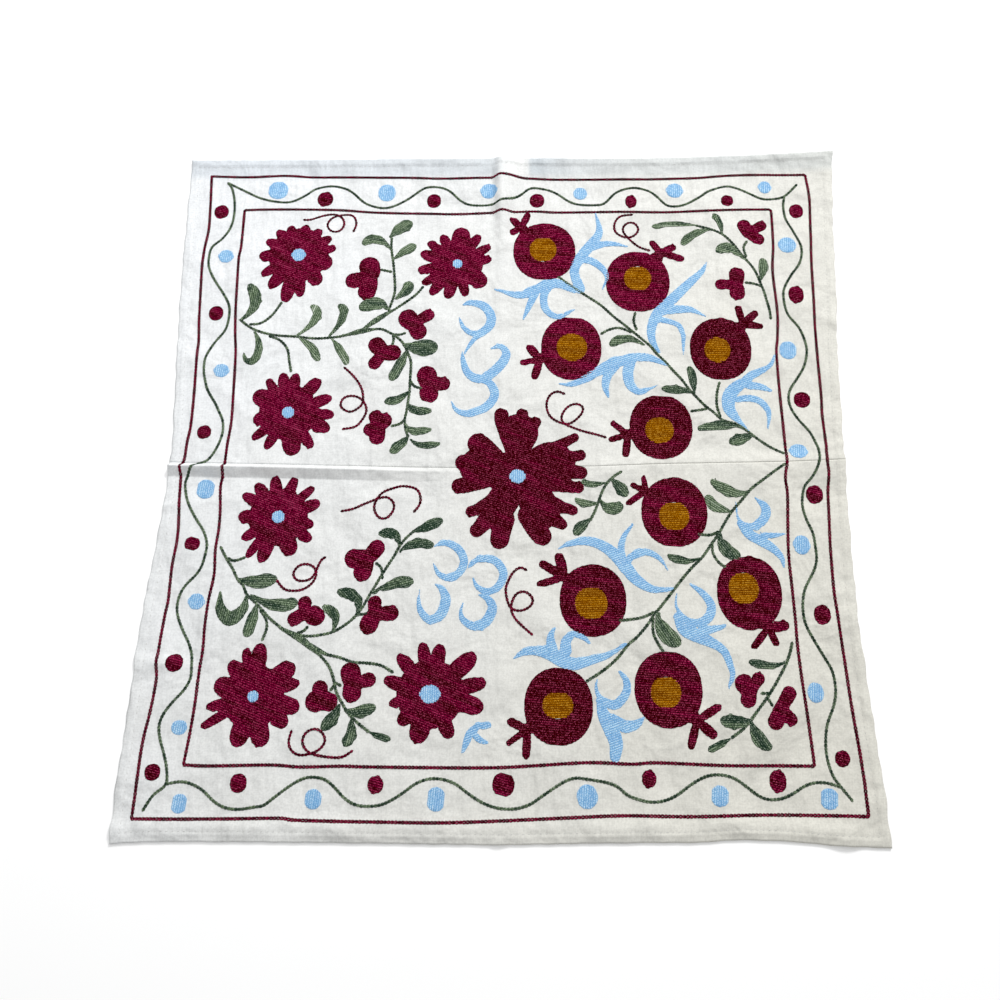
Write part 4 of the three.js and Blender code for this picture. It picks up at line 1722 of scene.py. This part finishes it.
BORDER_VINE = (
    ((-435, 461), (-410, 448), (-380, 433), (-350, 426), (-330, 427), (-310, 438), (-295, 449),
     (-272, 454), (-250, 450), (-235, 441), (-215, 423), (-190, 415), (-172, 418), (-150, 430),
     (-127, 448), (-113, 452), (-96, 450), (-83, 443), (-67, 427), (-52, 420), (-30, 419), (-16, 421),
     (-6, 423), (10, 428), (24, 436), (39, 448), (52, 449), (72, 444), (86, 436), (99, 426), (115, 420),
     (139, 419), (155, 422), (174, 441), (199, 449), (223, 444), (237, 433), (250, 419), (263, 416),
     (281, 420), (303, 433), (317, 443), (343, 451), (361, 447), (379, 438), (397, 429), (412, 428),
     (432, 433), (453, 454)),
    ((432, 432), (429, 416), (431, 394), (441, 372), (451, 345), (447, 320), (432, 298), (420, 276),
     (418, 258), (422, 234), (437, 212), (444, 189), (445, 172), (439, 150), (428, 132), (416.6, 115),
     (413, 101), (415.5, 85), (425.5, 67.5), (439, 50), (446.6, 32), (449.5, 16), (445.5, -1),
     (436.6, -17), (425.5, -30), (421, -46), (420, -61), (424, -79), (431, -97), (433, -117), (433, -135),
     (428, -150), (416.6, -170), (412, -181), (409, -201), (411, -223), (421, -245.5), (434, -270),
     (441, -285.5), (443, -308), (439, -328), (428, -354), (424, -379), (425, -399), (430, -417),
     (438, -429), (452, -447)),
    ((-434, -436), (-414, -433), (-398, -436.6), (-384, -444), (-369, -456.6), (-354, -464), (-336, -466),
     (-316, -463), (-304, -461), (-292, -452), (-272, -437), (-256, -428), (-243, -425.5), (-227, -428),
     (-214, -437), (-200.5, -450), (-187, -458), (-172, -460.5), (-154, -459), (-139, -453), (-123, -443),
     (-107.5, -432), (-90, -426), (-72, -426.6), (-56, -432), (-43, -441), (-27.5, -451), (-12, -458),
     (6, -461.5), (24, -461), (41, -455.5), (52.5, -448), (66, -439), (84, -428), (99, -423),
     (115, -424.4), (139, -428), (153, -433), (164, -442), (174, -446.6), (192, -451), (210, -450),
     (228, -443), (250, -428), (268, -419), (285.5, -417), (303, -421), (317, -430), (330, -440),
     (343, -446), (361, -445.5), (377, -439), (392, -430), (405.5, -425.5), (421, -425.5), (438, -430)),
    ((-435, 461), (-427, 450), (-421, 425), (-420, 400), (-424, 380), (-435, 362), (-449, 348),
     (-452, 330), (-450, 312), (-440, 292), (-425, 270), (-414, 250), (-412, 230), (-416, 208),
     (-430, 188), (-441, 165), (-441.6, 143), (-438, 127.5), (-434, 115), (-427, 103), (-419, 91),
     (-414, 81), (-407, 67.5), (-404.5, 54), (-405.6, 41), (-410.5, 25), (-417, 12), (-424, 4),
     (-436, -1), (-443, -7), (-448, -18), (-451, -30), (-448, -47), (-443, -60), (-436, -72.5),
     (-427, -86), (-419, -97), (-414, -108), (-411, -120), (-413, -137), (-416, -150), (-423, -162),
     (-434, -174), (-441.6, -188), (-444, -205), (-440.5, -221), (-431.6, -239), (-423, -254),
     (-417, -270), (-415, -288), (-416, -303), (-423, -317), (-436, -332), (-447, -348), (-451, -363),
     (-448, -380), (-440.5, -399), (-435, -417), (-434, -436.6), (-449, -450), (-460.5, -469)),
)
STEMS = (
    ((-394, 225), (-380, 214), (-363, 206), (-338, 200), (-309, 198), (-283, 195), (-260, 196),
     (-238, 199), (-216, 206), (-200, 216), (-186, 227), (-169, 238), (-151, 251), (-132, 266),
     (-121, 280)),
    ((-380, 218), (-363, 220), (-347, 233), (-334, 254)),
    ((-349, 199), (-332, 192), (-320, 178), (-316, 160), (-312, 142)),
    ((-240, 200), (-224, 202), (-208, 208), (-192, 210), (-180, 210), (-170, 205), (-161, 200),
     (-151, 191), (-145, 183), (-141, 173), (-135.5, 159), (-135, 143), (-135.5, 127), (-135.5, 112),
     (-137, 97), (-139, 79), (-141, 67.5), (-139, 52), (-135, 41)),
    ((-172, 240), (-164, 269), (-165, 294), (-168, 320), (-172, 345), (-172, 363)),
    ((-187, 309), (-170, 305)),
    ((-165.6, 202), (-154, 201), (-145, 204)),
    ((-164, 200), (-162, 194), (-164, 184)),
    ((-135, 127.5), (-129, 119), (-118, 115.6)),
    ((-141, 67.5), (-147.5, 61), (-160, 57.5)),
    ((-392, -121), (-383, -136), (-372, -152), (-363, -168), (-356, -174), (-349, -188), (-336, -199),
     (-327, -208), (-314, -221), (-298, -233), (-283, -241), (-265, -252), (-249, -262), (-234, -268),
     (-216, -272), (-198, -278), (-180, -279), (-160, -282), (-143, -291)),
    ((-380, -137), (-372, -141), (-363, -139), (-356, -136)),
    ((-329, -209), (-320, -221), (-318, -234), (-323, -250)),
    ((-278, -242), (-260, -244), (-243, -242), (-227, -238), (-212, -229), (-200, -219), (-189, -205),
     (-180, -188), (-172, -174), (-165, -161), (-156, -146), (-147.5, -132), (-141, -119), (-133, -108),
     (-121, -97)),
    ((-163, -165), (-165, -150), (-173, -143)),
    ((-276, -240), (-267, -237), (-262, -231)),
    ((-197, -215), (-182, -213)),
    ((-265, -253), (-249, -264), (-238, -274), (-229, -285), (-223, -299), (-218, -317), (-209, -332),
     (-200, -345), (-187, -357), (-172, -368)),
    ((-221.6, -305), (-212, -309)),
    ((-219, -305), (-223, -312), (-226, -315)),
    ((82, 297), (99, 283), (124, 265), (146, 249), (166, 229), (179, 218), (199, 200), (217, 183),
     (225, 172), (237, 159), (250, 143), (261, 130), (270, 116), (279, 105), (292, 90), (305, 79),
     (317, 67.5), (337, 61), (352, 50), (365, 39), (381, 27.5), (400, 17.5)),
    ((197, 237), (194, 223), (198, 209)),
    ((145, 202), (157, 209), (173, 212), (190, 205)),
    ((295.5, 85), (285.5, 83), (272, 81)),
    ((314, 72), (309.5, 90), (311, 110), (315.5, 126)),
    ((170, -10), (159, -17), (148, -28), (141, -41), (136, -55), (130, -70), (124, -81)),
    ((400, 2), (385.5, -8), (368, -21), (350, -35), (337, -50), (321, -68), (308, -88), (303, -97),
     (290, -115), (277, -132.5), (263, -146), (248, -163), (228, -188), (214, -205), (209, -210),
     (199, -225), (183, -243), (173, -251), (157, -270), (139, -285.5), (115, -301)),
    ((209, -208), (190, -216), (161, -220)),
    ((207, -215), (206, -235), (212, -250), (219, -261)),
    ((302, -96), (290, -101), (273, -100)),
    ((292, -110), (292, -126), (299, -139), (308, -146)),
    ((396.6, 226), (396, 239), (393, 255), (389.5, 272), (387, 280), (378, 307), (361, 332), (348, 352),
     (334, 367), (317, 376), (294, 383)),
    ((370, 356), (364, 345), (367, 329)),
    ((387, 280), (375, 284.4), (363, 286)),
    ((391, -247), (387, -261), (380, -277), (370, -294), (361, -308), (350, -323), (337, -339),
     (328, -350), (317, -361), (303, -371)),
    ((357, -314), (345.5, -314)),
    ((354, -321), (359, -330)),
)
TENDRILS = (
    ((-311, 395), (-300, 395), (-280, 402), (-262, 404), (-250, 397), (-247, 385), (-254, 375),
     (-266, 375), (-273, 385), (-268, 396), (-256, 402), (-235, 402), (-228, 388), (-232, 374)),
    ((-234, 149), (-223, 139), (-212, 126), (-205, 112), (-203, 96), (-207, 87), (-221, 79), (-235, 87),
     (-232, 100), (-219, 104), (-206, 99), (-198, 87), (-199, 74), (-211, 57), (-230.5, 52.5)),
    ((-226, -69.6), (-209, -66), (-194, -59), (-178, -52.5), (-172, -50), (-161, -49), (-152, -57),
     (-152, -68), (-161, -79), (-172, -78), (-179, -66), (-177, -54), (-168, -42), (-154, -36),
     (-139, -32.5), (-120, -37), (-114, -50), (-116, -61), (-123, -70)),
    ((-243, -135), (-249, -139), (-254, -150), (-258, -160), (-265, -167), (-280, -168), (-287, -159),
     (-280.5, -148), (-269, -145), (-258, -150), (-255, -160), (-260.5, -172), (-274, -181),
     (-291.6, -182), (-300.5, -178), (-309, -168)),
    ((-274, -367), (-277, -381), (-273, -392), (-263, -398), (-250, -397), (-236, -391), (-229, -380),
     (-234, -369), (-244, -365), (-255, -370), (-259, -381), (-254, -391), (-244, -397), (-222, -400.5),
     (-205, -400), (-192, -392)),
    ((198, 402), (179, 399), (170, 387), (171, 372), (185, 363), (198, 365), (206, 376), (200, 387),
     (189, 387), (182, 377), (188, 364), (205, 347), (222, 340)),
    ((91, 107), (80, 111), (69, 105), (64, 90), (69, 73), (84, 63), (98, 62), (112.5, 74), (117, 86),
     (108, 92), (95, 87.5), (86, 74), (88, 63), (101, 56), (117, 50), (132.5, 46), (149, 41)),
    ((36, -152), (27, -148), (17, -155), (10, -168), (7, -179), (10, -196), (16, -205), (28, -207.5),
     (41, -201), (44, -191), (35, -182), (24, -183), (17, -192), (14.5, -205), (19, -216.5), (28, -226.5),
     (43.6, -240)),
)


# The embroidery


@dataclass(frozen=True)
class Embroidery:
    """All the thread work on the cloth, gathered by the silk that it is worked in.

    Lengths are in millimetres. Leaves have dyes between the two leaf tones, plus a painted falloff of light
    that darkens them towards the front; its length is how far apart along the cloth two leaves are whose
    tones differ by one more on average.
    """

    cloth: ClothShape
    dyer: Dyer
    couching: Couching = Couching()
    link: float = 4.6
    hem_pitch: float = 7.5
    hem_inset: float = 1.4
    hem_start: float = 6.0
    hem_stitch: float = 4.6
    hem_slant: float = 0.8
    hem_rise: float = 0.12
    hem_tones: Pair = (0.2, 0.9)
    leaf_tones: Pair = (0.2, 0.85)
    leaf_fade: float = 1400.0
    seed: int = 7

    def filled(self, name: str, finish: SilkFinish, motifs: list[Motif]) -> Piece:
        """Works filled motifs in one silk.

        Args:
            name: The piece's name.
            finish: The silk.
            motifs: The motifs.

        Returns:
            The piece.
        """
        work, rng = ThreadWork(self.cloth), np.random.default_rng(self.seed)
        for motif in motifs:
            self.couching.fill(work, motif, rng)
        return work.finish(name, finish, self.dyer)

    def chained(self, name: str, finish: SilkFinish, kind: Line, lines: tuple[Rows, ...],
                tone: float) -> Piece:
        """Works lines of chain stitch in one silk.

        Args:
            name: The piece's name.
            finish: The silk.
            kind: The kind of line.
            lines: Points along each line.
            tone: How light the dye is.

        Returns:
            The piece.
        """
        work, rng = ThreadWork(self.cloth), np.random.default_rng(self.seed)
        for points in lines:
            work.chain(curve_through(points), kind, self.link, tone, rng)
        return work.finish(name, finish, self.dyer)

    def hem_stitches(self) -> Piece:
        """Works the small running stitches that hold the turned hem.

        Returns:
            The piece.
        """
        cloth, work, rng = self.cloth, ThreadWork(self.cloth), np.random.default_rng(self.seed + 2)
        inset = cloth.hem_width + cloth.hem_step + self.hem_inset
        for panel in Panel:
            depth = cloth.back_depth if panel is Panel.BACK else cloth.front_depth
            column = np.arange(inset - cloth.half_width, cloth.half_width - inset, self.hem_pitch)
            row = np.arange(self.hem_start, depth - inset, self.hem_pitch)
            across = np.stack(cloth.place(column, np.full(column.shape, depth - inset), panel), 1)
            edges = [np.full(row.shape, side * (cloth.half_width - inset)) for side in (-1, 1)]
            sides = [np.stack(cloth.place(edge, row, panel), 1) for edge in edges]
            for places, along in ((across, (1.0, 0.0)), (np.concatenate(sides), (0.0, 1.0))):
                side = np.array(along)
                ahead = np.array([-side[1], side[0]]) * self.hem_slant
                tones = rng.uniform(*self.hem_tones, len(places))
                work.ties(places, ahead, side, self.hem_rise, self.hem_stitch, tones)
        return work.finish("hem_stitches", HEM_THREAD, self.dyer)

    def rose(self) -> Motif:
        """The big middle flower with its five parted petals."""
        motif = eyed_motif(ROSE_CENTRE, ROSE_EYE, ROSE_CORE, -18.0, 0.2)
        for rows in ROSE_PETALS:
            motif.stroke(rows)
        return motif

    def dots(self, rows: Rows, angle: float) -> list[Motif]:
        """The round dots of the border."""
        return [Motif(rounds=[(*row, DOT)], angle=angle, tone=0.5, shortest=SHORTEST_DOT) for row in rows]

    def build(self) -> list[Piece]:
        """Works all the embroidery.

        Returns:
            Its pieces.
        """
        rng = np.random.default_rng(self.seed + 1)
        eyes = [*(flower.eye_motif() for flower in FLOWERS), eye_motif(ROSE_CENTRE, ROSE_EYE)]
        scrolls = [scroll(strokes, 20.0) for strokes in SCROLLS]
        # Painted falloff of light: leaves darker towards the front
        greens = [leaf(row, rng.uniform(*self.leaf_tones) + row[1] / self.leaf_fade) for row in LEAVES]
        greens += [scroll((rows,), 80.0) for rows in CURVED_LEAVES]
        fills = (
            ("flowers", BURGUNDY, [*(flower.body() for flower in FLOWERS), self.rose()]),
            ("pomegranates", BURGUNDY, [fruit.body() for fruit in POMEGRANATES]),
            ("buds_and_dots", BURGUNDY, [*map(bud, BUDS), *self.dots(RED_DOTS, RED_ANGLE)]),
            ("blue_work", BLUE, [*eyes, *scrolls, *self.dots(BLUE_DOTS, BLUE_ANGLE)]),
            ("fruit_hearts", OCHRE, [fruit.heart_motif() for fruit in POMEGRANATES]),
            ("leaves", GREEN, greens),
        )
        chains = (
            ("stems", GREEN, Line.STEM, STEMS, 0.4),
            ("tendrils", CRIMSON, Line.TENDRIL, TENDRILS, 0.5),
            ("border_vine", GREEN, Line.VINE, BORDER_VINE, 0.45),
            ("border_lines", CRIMSON, Line.BORDER, OUTER_BORDER + INNER_BORDER, 0.5),
        )
        pieces = [self.filled(*fill) for fill in fills]
        pieces += [self.chained(*chain) for chain in chains]
        return [*pieces, self.hem_stitches()]


# The photo's view


@dataclass(frozen=True)
class Lamp:
    """A square soft light that points at the cloth's middle, with its place and side in metres."""

    name: str
    place: Triple
    power: float
    size: float

    def build(self) -> None:
        """Adds the light."""
        data = bpy.data.lights.new(self.name, "AREA")
        data.energy = self.power
        data.size = self.size
        lamp = bpy.data.objects.new(self.name, data)
        lamp.location = self.place
        tilt = math.acos(self.place[2] / math.dist(self.place, (0, 0, 0)))
        lamp.rotation_euler = (tilt, 0, math.atan2(self.place[1], self.place[0]) + math.pi / 2)
        bpy.context.scene.collection.objects.link(lamp)


@dataclass(frozen=True)
class Studio:
    """The floor, lights and camera, which are no part of the cloth."""

    floor_size: float = 8.0
    floor_drop: float = 0.0005
    floor_colour: Triple = (0.96, 0.96, 0.955)
    floor_glow: float = 0.12
    floor_roughness: float = 0.9
    key: Lamp = Lamp("key", (1.6, 3.4, 2.6), 166.0, 1.1)
    fill: Lamp = Lamp("fill", (-0.8, 0.7, 1.7), 8.0, 0.8)
    sky_colour: Triple = (0.985, 0.99, 1.0)
    sky_strength: float = 0.49
    camera_mm: Triple = (16.4857, -340.214, 1121.70)
    camera_turn: Triple = (14.3596, 1.1271, 0.532)
    lens_mm: float = 29.57
    sensor_mm: float = 36.0

    def build(self) -> None:
        """Builds the floor, the lights and the camera."""
        bpy.ops.mesh.primitive_plane_add(size=self.floor_size, location=(0, 0, -self.floor_drop))
        floor = bpy.context.object
        floor.name = "floor"
        material = bpy.data.materials.new("floor")
        material.use_nodes = True
        shader = material.node_tree.nodes["Principled BSDF"]
        shader.inputs["Base Color"].default_value = (*self.floor_colour, 1)
        shader.inputs["Emission Color"].default_value = (1, 1, 1, 1)
        shader.inputs["Emission Strength"].default_value = self.floor_glow
        shader.inputs["Roughness"].default_value = self.floor_roughness
        floor.data.materials.append(material)
        self.key.build()
        self.fill.build()
        world = bpy.data.worlds.new("studio")
        world.use_nodes = True
        sky = world.node_tree.nodes["Background"].inputs
        sky["Color"].default_value = (*self.sky_colour, 1)
        sky["Strength"].default_value = self.sky_strength
        bpy.context.scene.world = world
        bpy.context.scene.view_settings.view_transform = "Standard"
        self.camera()

    def camera(self) -> None:
        """Adds the camera where the photo was taken from, turned by its three angles in degrees."""
        data = bpy.data.cameras.new("photo_view")
        data.lens = self.lens_mm
        data.sensor_width = self.sensor_mm
        camera = bpy.data.objects.new("photo_view", data)
        turn = Euler([math.radians(angle) for angle in self.camera_turn])
        camera.matrix_world = Matrix.LocRotScale(Vector(self.camera_mm) * MM, turn, None)
        bpy.context.scene.collection.objects.link(camera)
        bpy.context.scene.camera = camera


def main() -> None:
    """Builds the cloth, its embroidery and the studio."""
    logging.basicConfig(level=logging.INFO, format="%(name)s %(message)s")
    cloth, dyer = ClothShape(), Dyer()
    panels = {panel: ClothPanel(cloth, dyer, panel).build() for panel in Panel}
    for piece in panels.values():
        LOG.info("%s: %d triangles", piece.name, len(piece.data.polygons))
    threads = [piece.name for piece in Embroidery(cloth, dyer).build()]
    Studio().build()


if __name__ == "__main__":
    main()
